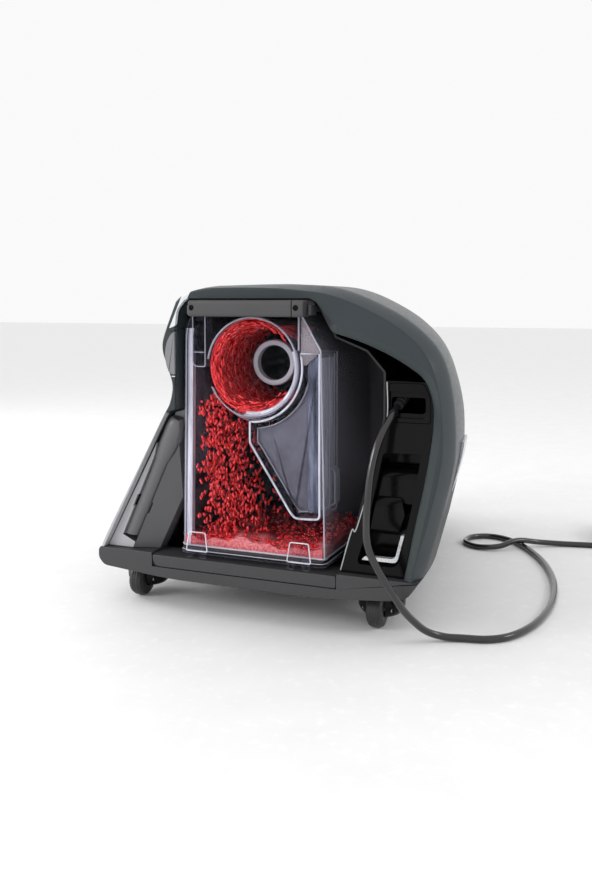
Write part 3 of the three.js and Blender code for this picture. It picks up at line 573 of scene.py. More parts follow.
def refined(node, look, bevel=0.6, angle=30, segments=2):
    """A CAD node's own solid with rounded edges and its finished material."""
    obj = bpy.data.objects.new("solid", frame["nodes"][node].data.copy())
    scene.collection.objects.link(obj)
    for attribute in ("custom_normal", "sharp_edge", "sharp_face"):
        if attribute in obj.data.attributes:
            obj.data.attributes.remove(obj.data.attributes[attribute])
    form = bmesh.new()
    form.from_mesh(obj.data)
    bmesh.ops.remove_doubles(form, verts=form.verts, dist=2e-6)
    bmesh.ops.dissolve_limit(form, angle_limit=math.radians(0.8), verts=form.verts, edges=form.edges)
    bmesh.ops.recalc_face_normals(form, faces=form.faces)
    form.to_mesh(obj.data)
    form.free()
    return finish(obj, node + "_finished", look, node, bevel=bevel, angle=angle, segments=segments)


# ------------------------------------------------------------------ body form
def smooth(low, high, value):
    t = min(1, max(0, (value - low) / (high - low)))
    return t * t * (3 - 2 * t)


def narrowing(y):
    """The plan's width, as a share: it narrows slowly at first, then steadily, and rounds at the nose."""
    bend, rate = 110, 4.87e-6
    lost = rate * y * y if y < bend else rate * bend * bend + 0.00112 * (y - bend)
    nose = max(0, (y - 385) / (LENGTH + 18 - 385))
    return (1 - max(lost, 0)) * math.sqrt(max(0, 1 - nose * nose))


def lowering(y):
    """The body's height above its base, as a share."""
    return 1 - 0.3 * smooth(110, 430, y) - 0.2 * smooth(390, LENGTH + 30, y)


def swelling(y, z):
    """The left side starts as a waist at the rear edge and swells to match the right side further on."""
    rise = min(1, max(0, (z - BASE_TOP) / (HEIGHT - BASE_TOP)))
    return 100 * math.sin(math.pi * rise ** 1.25) * smooth(5, 220, y)


def edge_inset(y, rear=1.4, nose=4.0):
    """How far the rounded rear and nose edges draw the outline in."""
    if y < rear:
        return rear - math.sqrt(max(0, rear * rear - (rear - y) ** 2))
    if y > LENGTH - nose:
        return nose - math.sqrt(max(0, nose * nose - (y - LENGTH + nose) ** 2))
    return 0


def on_form(across, up, y, is_base=False):
    """Where a point of the rear outline lies at a distance along the body; the base only narrows."""
    if is_base:
        return WAIST_X + (across - WAIST_X) * narrowing(y), up
    rounding = 2.5 + 4.5 * smooth(-20, 120, across)
    shrink = 1 - (rounding * (1 - min(1, max(0, y) / 22)) ** 1.25 + edge_inset(y)) / 145
    x = 40 + (across - 40) * shrink
    z = 165 + (up - 165) * shrink if up > BASE_TOP + 1 else up
    if x < -40:
        x -= swelling(y, z)
    high = 1 + 0.9 * smooth(185, 255, z) * math.exp(-y / 160)
    x = WAIST_X + (x - WAIST_X) * (1 - (1 - narrowing(y)) * high)
    return x, BASE_TOP + (z - BASE_TOP) * (lowering(y) if z > BASE_TOP else 1)


def form_section(outline, y, is_base=False):
    """A rear outline laid on the form at a distance along the body."""
    return [(x, y, z) for x, z in (on_form(u, v, y, is_base) for u, v in outline)]


def body_outline():
    """The rear outline of the body, anticlockwise from the lower right corner."""
    lower_right = [(173, BASE_TOP), (175.6, 64), (178.2, 73), (180.8, 82), (183.4, 91), (186, 100)]
    right_and_top = spline([(186, 100), (196.5, 145), (200, 175), (196.5, 220), (186, 252), (161, 277),
                            (126, 296), (92, 307.5), (56, 310.7), (26, HEIGHT), (-25, 310)], 6)
    corner = [(bend(-25, -54, -63, k / 8), bend(310, 308.5, 297, k / 8)) for k in range(1, 9)]
    waist = spline([(-63, 297), (-75.5, 266), (-77.6, 251), (-72, 234), (-67, 217), (-70, 200),
                    (-76, 190)], 5)
    slope = [(-76 - 73 * k / 14, 190 - (190 - BASE_TOP) * k / 14) for k in range(1, 15)]
    return lower_right + right_and_top + corner + waist + slope


REAR_ROWS = [0, 0.15, 0.45, 0.9, 1.4, 3, 5, 7.5, 10, 13, 16, 19, 22, 26, 31, 38]
MIDDLE_ROWS = [38 + k * 9.5 for k in range(1, 38)]
NOSE_ROWS = [399, 407, 414, 421, 428, 434, 440, 445, 450, 454, 457.5, 461, 462.5, 463.6, 464.4, 464.8, 465]


def body_solid():
    outline = body_outline()
    return loft([form_section(outline, y) for y in REAR_ROWS + MIDDLE_ROWS + NOSE_ROWS])


def body_cavity():
    """The space inside the shell: each section of the form drawn in by the wall, and open at the bottom."""
    outline = body_outline()
    sections = []
    for y in [30, 34, 38] + MIDDLE_ROWS + NOSE_ROWS[:11] + [LENGTH - WALL]:
        points = [Vector(on_form(u, v, y)) for u, v in outline]
        section = []
        for i, point in enumerate(points):
            along = (points[min(i + 1, len(points) - 1)] - points[max(i - 1, 0)]).normalized()
            inner = point + Vector((-along.y, along.x)) * WALL
            if i in (0, len(points) - 1):
                inner += along * ((BASE_TOP - 4 - inner.y) / along.y)
            section.append((inner.x, y, inner.y))
        sections.append(section)
    return loft(sections)


def rear_opening():
    """The opening in the rear face, with the facet that leads into it on the right and over the top."""
    # Each corner's X and Z, the facet's width there and the corner's rounding.
    corners = [(-143.5, 53, 0.3, 0), (158, 53, 7, 0), (167, 99, 8, 20), (178, 149, 8, 24),
               (184, 190, 8, 12), (183, 212, 8, 8), (176, 230, 8, 9), (150, 247, 8, 16),
               (120, 260, 8, 16), (92, 268, 8, 5), (79, 292, 2.5, 2.5), (74, 297, 1.2, 2.5),
               (-50, 297, 1.2, 4), (-59, 287, 1, 4), (-61.8, 266, 1, 3), (-61.8, 193, 0.8, 2),
               (-72, 190, 0.6, 2), (-76, 183, 0.6, 2)]
    outline, widths = [], []
    for i, (x, z, width, r) in enumerate(corners):
        here, before = Vector((x, z)), Vector(corners[i - 1][:2])
        after = Vector(corners[(i + 1) % len(corners)][:2])
        steps = 5 if r else 0
        for k in range(steps + 1):
            t = k / steps if steps else 0.5
            start = here + (before - here).normalized() * r
            end = here + (after - here).normalized() * r
            outline.append(tuple(bend(start, here, end, t)))
            widths.append(width)
    depths = [(-3, 1.6), (0, 1.0), (1.5, 0.72), (3, 0.44), (4.6, 0.14), (5.6, 0.02), (7, 0), (40, 0)]
    return loft([lay(inset(outline, [-w * share for w in widths]), y, "y") for y, share in depths])


def trim_region(grow):
    """The side view of the lower side trims; grow leaves the seam round them."""
    return rounded([(22 - grow, BASE_TOP - 1), (24 - grow, 86), (58 - grow, 168 + grow), (300, 132 + grow),
                    (430, 84 + grow), (440 + grow, BASE_TOP - 1)], [0, 8, 3, 30, 12, 0], 8)


def strip_solid(grow):
    outline = [(-68 - grow, 270 - grow), (-62.5 + grow, 272 - grow), (-36 + grow, 322), (-45 - grow, 322)]
    return prism(outline, -2, 3 + grow)


def flank_solid(grow):
    """The left-hand part of the shell below its upper seam."""
    corners = [(-300, BASE_TOP - 5), (-48 + grow, BASE_TOP - 5), (-48 + grow, 270 + grow),
               (-300, 270 + grow)]
    outline = []
    for a, b in zip(corners, corners[1:] + corners[:1]):
        outline += [tuple(Vector(a).lerp(Vector(b), k / 12)) for k in range(12)]
    rows = [-2, 0, 3, 6, 10, 16, 22] + [31 + k * 12 for k in range(36)] + [460, LENGTH + 2]
    region = loft([form_section(outline, y) for y in rows])
    return cut(region, block(-23 + grow, 200, 380, LENGTH + 5, 0, 400))


def make_shell():
    """The shell, cut along its seams into the mouldings that it is made of."""
    below_shell = block(-260, 260, -5, LENGTH + 5, 0, BASE_TOP + 0.3)
    wall = cut(body_solid(), body_cavity(), rear_opening(), below_shell)
    holes = [hole_round(BUTTON_RADIUS + 1.0, 200, 330, (x, y, 0)) for x, y in BUTTONS.values()]
    grip = rectangle(GRIP["left"] - 6.8, GRIP["right"] + 6.8, GRIP["near"] - 7.8, GRIP["far"] + 8.8, 7)
    holes.append(prism(grip, 288, 330, "z"))
    holes.append(hose_place([(0, -14), (HOSE_RADIUS + 4.6, -14), (HOSE_RADIUS + 4.6, 60), (0, 60)]))
    left, right, bottom, top = GRILLE
    holes.append(block(left - 1, right + 1, LENGTH - 30, LENGTH + 2, bottom - 1, top + 1, 2))
    wall = cut(wall, *holes)

    def side(left, right, grow):
        return prism(trim_region(grow), left, right, "x")

    trim_right = common(copy_of(wall), side(60, 260, 0))
    trim_left = common(copy_of(wall), side(-260, -30, 0))
    rest = cut(wall, side(60, 260, SEAM), side(-260, -30, SEAM))
    strip = common(copy_of(rest), strip_solid(0))
    flank = cut(common(copy_of(rest), flank_solid(0)), strip_solid(SEAM))
    main = cut(rest, flank_solid(SEAM), strip_solid(SEAM))
    finish(main, "upper_shell", "shell", "outer_shell", angle=28)
    finish(flank, "left_flank", "shell", "left_flank_shell", angle=28)
    for obj in (main, flank):
        paint_facet(obj)
    finish(strip, "pearl_strip", "pearl", "silver_strip", angle=28)
    finish(trim_right, "right_side_trim", "base", "side_trim_right", angle=28)
    finish(trim_left, "left_side_trim", "base", "side_trim_left", angle=28)


def paint_facet(obj):
    """Paints the facet round the opening darker, and the left flank's low rear rim paler.

    The facet faces both the rear and the opening.
    """
    obj.data.materials.append(MATERIALS["facet"])
    obj.data.materials.append(MATERIALS["accessory"])
    middle = metres((40, 0, 165))
    for face in obj.data.polygons:
        outward = face.center - middle
        inward_facing = face.normal.x * outward.x + face.normal.z * outward.z < 0
        if face.center.y < metres((0, 7.5, 0)).y and inward_facing and face.normal.y > -0.97:
            face.material_index = 1
        low_left = face.center.x < metres((-72, 0, 0)).x and face.center.z < metres((0, 0, 192)).z
        if low_left and face.center.y < metres((0, 8, 0)).y and (face.normal.y < -0.3 or inward_facing):
            face.material_index = 2


def hole_round(radius, low, high, centre=(0, 0, 0)):
    return turned([(0, low), (radius, low), (radius, high), (0, high)], "z", centre)


# ------------------------------------------------------------------ base
def base_outline():
    corners = [(-149, 52), (-149, 44), (-143, 37), (-70, BASE_BOTTOM), (84, BASE_BOTTOM), (150, 37),
               (163, 41), (170.5, 52), (173, BASE_TOP), (-147, BASE_TOP)]
    return rounded(corners, [1.6, 3.4, 4.6, 20, 20, 7.5, 4.6, 1.6, 1.2, 1.2], 4)


def make_base():
    edge = 1.0
    rows = [0, 0.1, 0.3, 0.6, edge] + REAR_ROWS[5:] + MIDDLE_ROWS + NOSE_ROWS[:-3]
    outline = base_outline()

    def section(y):
        drawn = inset(outline, edge - math.sqrt(edge * edge - (edge - y) ** 2)) if y < edge else outline
        if y > LENGTH - 4:
            drawn = inset(outline, edge_inset(y))
        return form_section(drawn, y, True)

    outer = loft([section(y) for y in rows + [464.6]])
    floor, rim = BASE_BOTTOM + 5, BASE_TOP + 1
    inside = [(-134, floor + 8), (-66, floor), (80, floor), (150, floor + 8), (160, rim), (-136, rim)]
    hollow = loft([form_section(inside, y, True) for y in [30] + MIDDLE_ROWS + NOSE_ROWS[:9]])
    spots = CASTER_SPOTS.values()
    hollow = cut(hollow, *[hole_round(29, BASE_BOTTOM - 1, 49, (x, y, 0)) for x, y in spots])
    pockets = [hole_round(25, BASE_BOTTOM - 5, 45, (x, y, 0)) for x, y in spots]
    sill = block(-89, 99, -1, 31, SILL_TOP, rim)
    seat = prism([(-88.6, 41.4), (98.6, 41.4), (98.6, SILL_TOP + 1), (-88.6, SILL_TOP + 1)], -1, 3)
    finish(cut(outer, hollow, sill, seat, *pockets), "chassis", "base", "base_tub", angle=28)
    corners = rounded([(-88, 42), (98, 42), (98, SILL_TOP), (-88, SILL_TOP)], [9, 2, 1.4, 1.4])
    finish(prism(corners, 0, 2.7, "y", 0.8), "sill_cover", "base", "front_sill")


# ------------------------------------------------------------------ top and nose
GRIP = dict(left=-32, right=62, near=92, far=168, top=309, bar=14, thick=9)
BUTTONS = dict(power_button=(72, 232), rewind_button=(-42, 232))
BUTTON_RADIUS = 19
HOSE_RADIUS = 27
HOSE_CENTRE = (15, 408)
GRILLE = (-14, 44, 74, 128)


def shell_top(y):
    return BASE_TOP + (HEIGHT - BASE_TOP) * lowering(y)


def hose_place(profile, segments=96):
    """A turned solid about the hose inlet's tilted axis."""
    tilt = Matrix.Rotation(math.radians(-32), 3, "X")
    centre = (HOSE_CENTRE[0], HOSE_CENTRE[1], shell_top(HOSE_CENTRE[1]) - 8)
    return turned(profile, "z", centre, segments, tilt)


def make_top():
    left, right, near, far = GRIP["left"], GRIP["right"], GRIP["near"], GRIP["far"]
    top, bar, thick = GRIP["top"], GRIP["bar"], GRIP["thick"]
    tray = prism(rectangle(left - 6, right + 6, near - 7, far + 8, 7), 291, 306, "z", 0.6)
    inside = prism(rectangle(left - 3.5, right + 3.5, near - 4.5, far + 5.5, 5), 293.5, 310, "z", 1.5, 0)
    finish(cut(tray, inside), "handle_recess", "dark", "handle_tray", bevel=0.5)
    plan = prism(rectangle(left, right, near, far, 12, 8), top - thick, top, "z", 3.6)
    window = prism(rectangle(left + 12, right - 12, near - 5, far - bar, 7), top - thick - 1, top + 1, "z")
    notch = block(left + 12, right - 12, near - 5, near + 12, top - thick - 1, top + 1)
    finish(cut(plan, window, notch), "lifting_handle", "handle", "carry_handle", bevel=1.2, segments=3)
    for name, (x, y) in BUTTONS.items():
        cap = shell_top(y) + 1
        profile = [(0, cap - 16), (BUTTON_RADIUS - 5, cap - 16), (BUTTON_RADIUS, cap - 12),
                   (BUTTON_RADIUS, cap - 1), (BUTTON_RADIUS - 4, cap), (0, cap - 1.4)]
        profile = rounded(profile, [0, 1, 1, 1.6, 3, 0], 5)
        finish(turned(profile, "z", (x, y, 0)), name + "_cap", "silver", name)
    socket = [(20, -34), (23.5, -34), (23.5, -3), (HOSE_RADIUS + 4, -3), (HOSE_RADIUS + 4, 6),
              (HOSE_RADIUS + 1, 6), (HOSE_RADIUS + 1, 0), (20, 0)]
    finish(hose_place(rounded(socket, 0.6, 3)), "hose_seat", "base", "hose_socket")
    collar = [(17, 0.6), (HOSE_RADIUS + 0.4, 0.6), (HOSE_RADIUS + 0.4, 6), (22.5, 11), (17, 11)]
    collar = hose_place(rounded(collar, [0.5, 0.5, 1.5, 1.8, 1.8], 4))
    finish(collar, "hose_collar", "silver", "hose_swivel")


def make_exhaust():
    left, right, bottom, top = GRILLE
    cover = prism(rectangle(left, right, bottom, top, 3), LENGTH - 3.2, LENGTH, "y", 0.8)
    slots = [prism(rectangle(left + 6, right - 6, low, low + 4, 1.9), LENGTH - 10, LENGTH + 1)
             for low in range(bottom + 9, bottom + 49, 8)]
    finish(cut(cover, *slots), "exhaust_grille", "base", "exhaust_cover", bevel=0.4)
    pleats = []
    count = 26
    for k in range(count + 1):
        x = left + 2 + (right - left - 4) * k / count
        pleats.append((x, LENGTH - 8.2 if k % 2 else LENGTH - 12))
    outline = pleats + [(right - 2, LENGTH - 28), (left + 2, LENGTH - 28)]
    finish(prism(outline, bottom + 2, top - 2, "z"), "pleated_filter", "filter", "exhaust_filter", angle=20)


# ------------------------------------------------------------------ rear face
NOZZLE_TILT = math.radians(24.4)
NOZZLE_FOOT = (-117.4, 13, 66)


def nozzle_place(point):
    """A point given about the nozzle's own axis, in the working frame."""
    return Matrix.Rotation(NOZZLE_TILT, 3, "Y") @ Vector(point) + Vector(NOZZLE_FOOT)


def make_nozzle():
    """The crevice nozzle: flattened at its mouth, wider past a smooth shoulder, with a domed collar."""
    # Each section's distance along the axis and its half width and half depth.
    outside = [(0, 6.9, 6.2), (1, 7.3, 6.7), (20, 7.4, 7.0), (50, 7.5, 7.4), (76, 7.7, 7.7), (83, 8.1, 8.1),
               (89, 8.9, 8.9), (94, 9.6, 9.6), (99, 10.0, 10.0), (104, 10.2, 10.2), (119, 10.2, 10.2),
               (123, 9.9, 9.9), (126, 9.2, 9.2), (128.2, 8.0, 8.0), (129, 6.8, 6.8)]
    inside = [(-6, 5.6, 4.9), (50, 6.1, 6.0), (84, 6.5, 6.5), (100, 8.6, 8.6), (121, 8.6, 8.6),
              (124, 6.2, 6.2), (136, 6.2, 6.2)]

    def section(along, wide, deep):
        angles = [2 * math.pi * k / 56 for k in range(56)]
        return [tuple(nozzle_place((wide * math.cos(a), deep * math.sin(a), along))) for a in angles]

    def beside_bin(rows, gap):
        return cut(loft([section(*row) for row in rows]), block(BIN["left"] - gap, 0, -20, 60, 100, 240))

    body, bore = beside_bin(outside, 0.2), beside_bin(inside, 1.8)
    mouth = [(-20, -16), (20, -16), (20, 9), (-20, -4)]
    slant = loft([[tuple(nozzle_place((x, y, z))) for x, z in mouth] for y in (-20, 20)])
    finish(cut(body, bore, slant), "crevice_tool", "nozzle", "crevice_nozzle", bevel=0.35, angle=50)


def make_waist_panel():
    """A lighter moulded inset at the waist beside the container, and below it a thin pale line that is a
    painted highlight on a ledge.
    """
    corners = [(-62.2, 267), (-66, 265), (-71, 257), (-73, 245), (-71, 233), (-67, 227), (-62.2, 226.5)]
    inlay = prism(rounded(corners, [1, 3, 5, 6, 5, 3, 1]), -0.4, 2, "y", 0.5)
    finish(inlay, "waist_inset", "waist", body="body")
    # Painted highlight: a pale strip where the ledge under the inset catches the light.
    line = prism([(-65.5, 224.4), (-62.2, 224.4), (-62.2, 225.3), (-65.7, 225.3)], -0.2, 1)
    finish(line, "waist_ledge_highlight", "pearl", body="body")


def make_trim_tab():
    """The bright plate at the right-hand trim's rear edge: widest, and standing proudest, at its top."""
    side = sorted((v, u) for u, v in body_outline() if u > 150 and 60 < v < 200)
    rings = []
    for k in range(13):
        share = k / 12
        height = 128 + 42 * share
        across = interpolate(side, height)
        places = [43 + 13 * share + (2.5 + 44 * share) * j / 6 for j in range(7)]
        skin = [(on_form(across, height, y), y) for y in places]
        thick = 0.6 + 2.3 * share
        inner = [(x + 0.05, y, z) for (x, z), y in skin]
        outer = [(x + thick, y, z) for (x, z), y in skin]
        rings.append(inner + outer[::-1])
    finish(loft(rings), "right_trim_tab", "silver", body="body", bevel=0.25)


def make_rear_panels():
    """The panels beside the container; the accessory panel is painted darker to the right of the nozzle, as
    painted shade where it faces away from the light.
    """
    panel = refined("accessory_panel", "accessory", bevel=0.8)
    panel.data.materials.append(MATERIALS["accessory_painted_shade"])
    # Faces right of the nozzle's axis take the darker copy of the plastic: painted shade, not another part.
    for face in panel.data.polygons:
        along = face.center.z - metres((0, 0, NOZZLE_FOOT[2])).z
        nozzle_x = metres((NOZZLE_FOOT[0], 0, 0)).x + along * math.tan(NOZZLE_TILT)
        if face.center.x > nozzle_x:
            face.material_index = 1
    refined("nozzle_clip", "dark", bevel=0.3)
    refined("right_panel", "dark", bevel=1.0, segments=3)
    refined("cord_outlet", "dark", bevel=0.8, segments=3)
    refined("parking_guide", "dark", bevel=0.9, segments=3)
    refined("parking_bracket", "silver", bevel=0.5)
    refined("bay_frame", "bay", bevel=0.8)
    # A thin pale bead along the right panel's left edge: a painted highlight where that edge catches the
    # light.
    edge = [(142.2, 7.7, 226), (142.6, 7.7, 196), (137, 7.7, 172), (115.8, 7.7, 98), (110.4, 7.7, 93),
            (100.2, 7.7, 57)]
    highlight_bead = tube([edge[0]] + spline(edge, 6), 0.55, 8)
    finish(highlight_bead, "panel_edge_highlight", "accessory", body="body", angle=60)


# ------------------------------------------------------------------ dust container
def bin_section(z, inward=0.0):
    """The container's plan at a height: its sides lean in, and its right shoulder slopes."""
    left, right = interpolate(BIN_LEFT, z), interpolate(BIN_RIGHT, z)
    corners = [(left, BIN["front"]), (right, BIN["front"]), (right, BIN["back"]), (left, BIN["back"])]
    return lay(inset(rounded(corners, [9, 3.5, 4, 4], 6), inward), z, "z")


def interpolate(table, value):
    """The number that belongs to a value, between a table's rows and level beyond them."""
    for (a, va), (b, vb) in zip(table, table[1:]):
        if value <= b:
            return va + (vb - va) * max(0, value - a) / (b - a)
    return table[-1][1]


def make_container_body():
    top, bottom, wall = BIN["top"], BIN["bottom"], BIN["wall"]
    heights = [bottom, bottom + 0.4, 142, 200, 246, 250, 254, 262, 266, 268, 270, 276, top - 3]
    outer = [bin_section(z) for z in heights]
    outer += [bin_section(top - down, drawn) for down, drawn in ((1.5, 0.4), (0.5, 1.2), (0, 2.2))]
    inner = [bin_section(z, wall) for z in [bottom - 3] + heights[2:-1] + [top - wall - 1.5]]
    inner += [bin_section(top - wall - down, wall + drawn) for down, drawn in ((0.5, 0.6), (0, 1.6))]
    ports = [turned([(0, 150), (radius, 150), (radius, 158), (0, 158)], "y", (x, 0, z))
             for radius, x, z in ((18, OUTLET["x"], OUTLET["z"]), (13, -34, 260))]
    finish(cut(loft(outer), loft(inner), *ports), "dust_container", "clear", "container_body", angle=40)
    # A milky line round the lower rim: a painted highlight along that edge.
    rim = [(x, y, bottom + 1.3) for x, y, _ in bin_section(bottom)]
    line_piece("container_lower_rim", rim, 0.9, closed=True)


def line_piece(name, points, radius, look="clear_edge_highlight", closed=False):
    """A moulded rib or lip along the points, part of the clear container; its default milky plastic is a
    painted highlight, and some of these lines are painted highlights with no rib under them.
    """
    return bin_piece(tube(points, radius, 8, closed), name, look, angle=60)


def make_corner_highlights():
    """Painted highlights and reflections on the rounded front edges and the inner pocket walls, where they
    catch the light, with the latch pocket and shoulder web.
    """
    front = BIN["front"]
    # Pale lines, a bright band and a pale pane over the container's left and right front corners: painted
    # highlights and a painted reflection.
    left = [(interpolate(BIN_LEFT, z) + 2.2, front + 4.6, z) for z in (64, 100, 150, 200, 240, 262, 270)]
    line_piece("left_edge_highlight", left, 0.9)
    edge = []
    for z in (64, 110, 170, 230, 262, 270):
        side = interpolate(BIN_LEFT, z)
        arc = [(side + 2.6, front + 20)]
        for a in (math.radians(d) for d in range(0, 91, 15)):
            arc.append((side + 2.6 + 5.4 * (1 - math.cos(a)), front + 8.3 - 5.4 * math.sin(a)))
        band = arc + [(x + 0.9 * (y < front + 4), y + 0.9) for x, y in reversed(arc)]
        edge.append([(x + (0.9 if k >= len(arc) else 0), y, z) for k, (x, y) in enumerate(band)])
    bin_piece(loft(edge), "left_corner_highlight", "glare", 60)
    pane = block(BIN["left"] + 3.6, BIN["left"] + 4.2, 24, 74, 128, 232, 0.2)
    bin_piece(pane, "left_wall_reflection", "glare_soft")
    right = lay([(61.5, 283), (70, 268.5), (80.0, 251), (82.4, 143), (83.8, 64)], front + 2.6, "y")
    line_piece("right_edge_highlight", right, 0.8)
    pocket = rounded([(-49, 283), (-49, 234), (-36, 234), (-36, 283)], [0.5, 6, 2, 0.5], 5)
    outer = prism(pocket, front + 2.6, 48, "y", 0.8)
    inner = prism(inset(pocket, 1.4), front + 4, 50, "y", 0.5)
    bin_piece(cut(outer, inner), "latch_pocket", "clear", 40)
    line_piece("latch_pocket_lip", lay(pocket[1:-1], front + 3.2, "y"), 0.55)
    line_piece("latch_pocket_rib", lay([(-48, 247.5), (-37, 247.5)], front + 3.2, "y"), 0.5)
    flap = rounded([(60.2, 283), (80.2, 251), (64, 236), (60.4, 240)], [0.5, 2, 3, 2], 3)
    bin_piece(prism(flap, front + 4, front + 6, "y", 0.5), "shoulder_web", "clear_frost", 40)
    line_piece("inner_post", lay([(58.6, 283), (58.6, 251)], front + 3.4, "y"), 0.9)


def drum_arc(radius, y, start, end, count=40):
    """Points round the cyclone drum's axis, from one angle to another in degrees."""
    angles = [math.radians(start + (end - start) * k / count) for k in range(count + 1)]
    return lay([around((CYCLONE["x"], CYCLONE["z"]), radius, a) for a in angles], y, "y")


def make_cyclone():
    """The cyclone drum with its mouth for the dust, its lips, a painted highlight along its front edge, and
    the outlet ring.
    """
    x, z, outer, front, back = (CYCLONE[k] for k in ("x", "z", "outer", "front", "back"))
    profile = [(outer - 2, front), (outer, front), (outer, back), (0, back), (0, back - 2),
               (outer - 2, back - 2)]
    drum = turned(rounded(profile, [0.8, 0.8, 0.6, 0, 0, 0.6], 3), "y", (x, 0, z), 128)
    tube_outer, tube_inner, tube_front = VORTEX["outer"], VORTEX["inner"], VORTEX["front"]
    tube_axis = (OUTLET["x"], 0, OUTLET["z"])
    hole = [(0, back - 4), (tube_outer + 0.5, back - 4), (tube_outer + 0.5, back + 2), (0, back + 2)]
    tube_hole = turned(hole, "y", tube_axis, 96)
    mouth = prism([(x, z), (x - 70, z + 8), (x - 70, z - 75), (x - 34, z - 75)], front - 1, back - 14)
    finish(cut(drum, mouth, tube_hole), "cyclone_drum", "clear", "cyclone_wall", angle=40)
    line_piece("cyclone_front_lip", drum_arc(outer - 1.1, front + 0.6, -100, 172, 90), 1.0)
    # Painted highlight: a bright arc where the drum's front lip catches the light.
    line_piece("cyclone_edge_highlight", drum_arc(outer - 2.6, front + 3.4, -98, 20, 60), 2.5, "glare")
    for index, depth in enumerate((34, 58, 84)):
        line_piece(f"cyclone_rib_{index + 1}", drum_arc(outer - 0.4, depth, 186 + 6 * index, 262), 0.6)
    for index, (radius, depth) in enumerate(((49.5, 22), (53, 30), (47.2, 16))):
        line_piece(f"cyclone_guide_{index + 1}", drum_arc(radius, depth, 205, 300), 0.45)

    def tube_part(inner, outer, near, far, radii=0, segments=96):
        section = rounded([(inner, near), (outer, near), (outer, far), (inner, far)], radii, 4)
        return turned(section, "y", tube_axis, segments)

    lip = tube_part(tube_inner, tube_outer, tube_front, tube_front + 8, [1.0, 1.6, 0.4, 0.4])
    finish(lip, "outlet_ring", "white", "vortex_tube")
    pipe = tube_part(tube_inner + 0.2, tube_outer - 0.5, tube_front + 8.1, VORTEX["back"])
    bin_piece(pipe, "outlet_pipe", "bay")
    bin_piece(tube_part(0, tube_inner, 146, 148, 0, 64), "outlet_screen", "mesh")


def funnel_outline(d=0.0, arc_steps=26):
    """The fine filter's outline, which hugs the cyclone from below and the right; d draws it inwards."""
    left, right = FILTER["left"] + d, FILTER["right"] - d
    bottom, top = FILTER["bottom"] + d, FILTER["top"] - d
    reach = CYCLONE["outer"] + 3.4 + d
    start = math.asin((top - CYCLONE["z"]) / reach)
    end = -math.acos((left - CYCLONE["x"]) / reach)
    points = [(right, top)]
    for k in range(arc_steps + 1):
        angle = start + (end - start) * k / arc_steps
        points.append(around((CYCLONE["x"], CYCLONE["z"]), reach, angle))
    lower = [(left, 165), (left + 3, 160 + 0.3 * d), (51 + 0.9 * d, 100 + 0.5 * d),
             (56 + 0.6 * d, bottom), (right, bottom + 1)]
    corner = rounded([points[-1]] + lower + [points[0]], [0, 2, 2, 5, 4, 4, 0], 3)
    return points + corner[1:-1]


def make_funnel():
    """The clear funnel with its mesh, its double outline, its side wall and its drain tab, with painted
    highlights and reflections on its outer lip, its front, its side wall and the tab's arch.
    """
    front, back, wall = FILTER["front"], FILTER["back"], FILTER["wall"]
    outer = prism(funnel_outline(), front, back)
    inner = prism(funnel_outline(wall), front + wall, back - wall)
    finish(cut(outer, inner), "filter_housing", "clear", "filter_funnel", angle=40)
    finish(prism(funnel_outline(7.5), front + 5, front + 6.2), "filter_screen", "mesh", "funnel_mesh")
    # The outer lip's bright plastic is a painted highlight; the inner and back lips take the milky painted
    # edge highlight.
    for side, drawn, y, radius, look in (("outer", 0.9, front - 0.2, 1.05, "glare"),
                                         ("inner", 7.2, front + 3.6, 0.8, "clear_edge_highlight"),
                                         ("back", 0.6, back - 0.4, 0.7, "clear_edge_highlight")):
        lip = lay(funnel_outline(drawn), y, "y")
        line_piece(f"filter_{side}_lip", lip, radius, look, closed=True)
    # Pale bands on the funnel's front and on its side wall: painted reflections of the lamps.
    band = prism(rectangle(66.5, 77.6, 104, 246, 2), front + 1.8, front + 2.6)
    bin_piece(band, "filter_front_reflection", "glare_soft")
    strip = prism(rectangle(front + 2, back - 2, 106, 244, 3), 76.6, 77.6, "x")
    bin_piece(strip, "filter_side_reflection", "glare")
    for index, (offset, low, high) in enumerate(((24, 104, 246), (38, 104, 247), (46, 130, 246))):
        rib = [(79.2, front + offset, z) for z in (low, high)]
        line_piece(f"filter_side_rib_{index + 1}", rib, 0.45)
    tab = rounded([(72, 140), (72, 101), (82.4, 107), (82.4, 136), (79, 141)], [1, 1, 2, 2, 1], 3)
    outer = prism(tab, 44, 57, "y", 0.6)
    inner = prism(inset(tab, 1.3), 42, 55.5, "y")
    bin_piece(cut(outer, inner), "filter_drain_tab", "clear_edge_highlight", 40)
    # A bright arch on the tab: a painted highlight.
    turn = [math.radians(a) for a in range(0, 181, 20)]
    arch = [(80.9, 106)] + [(78.4 + 2.5 * math.cos(a), 128 + 8 * math.sin(a)) for a in turn] + [(75.9, 106)]
    line_piece("filter_drain_arch_highlight", lay(arch, 50, "y"), 0.7, "glare")


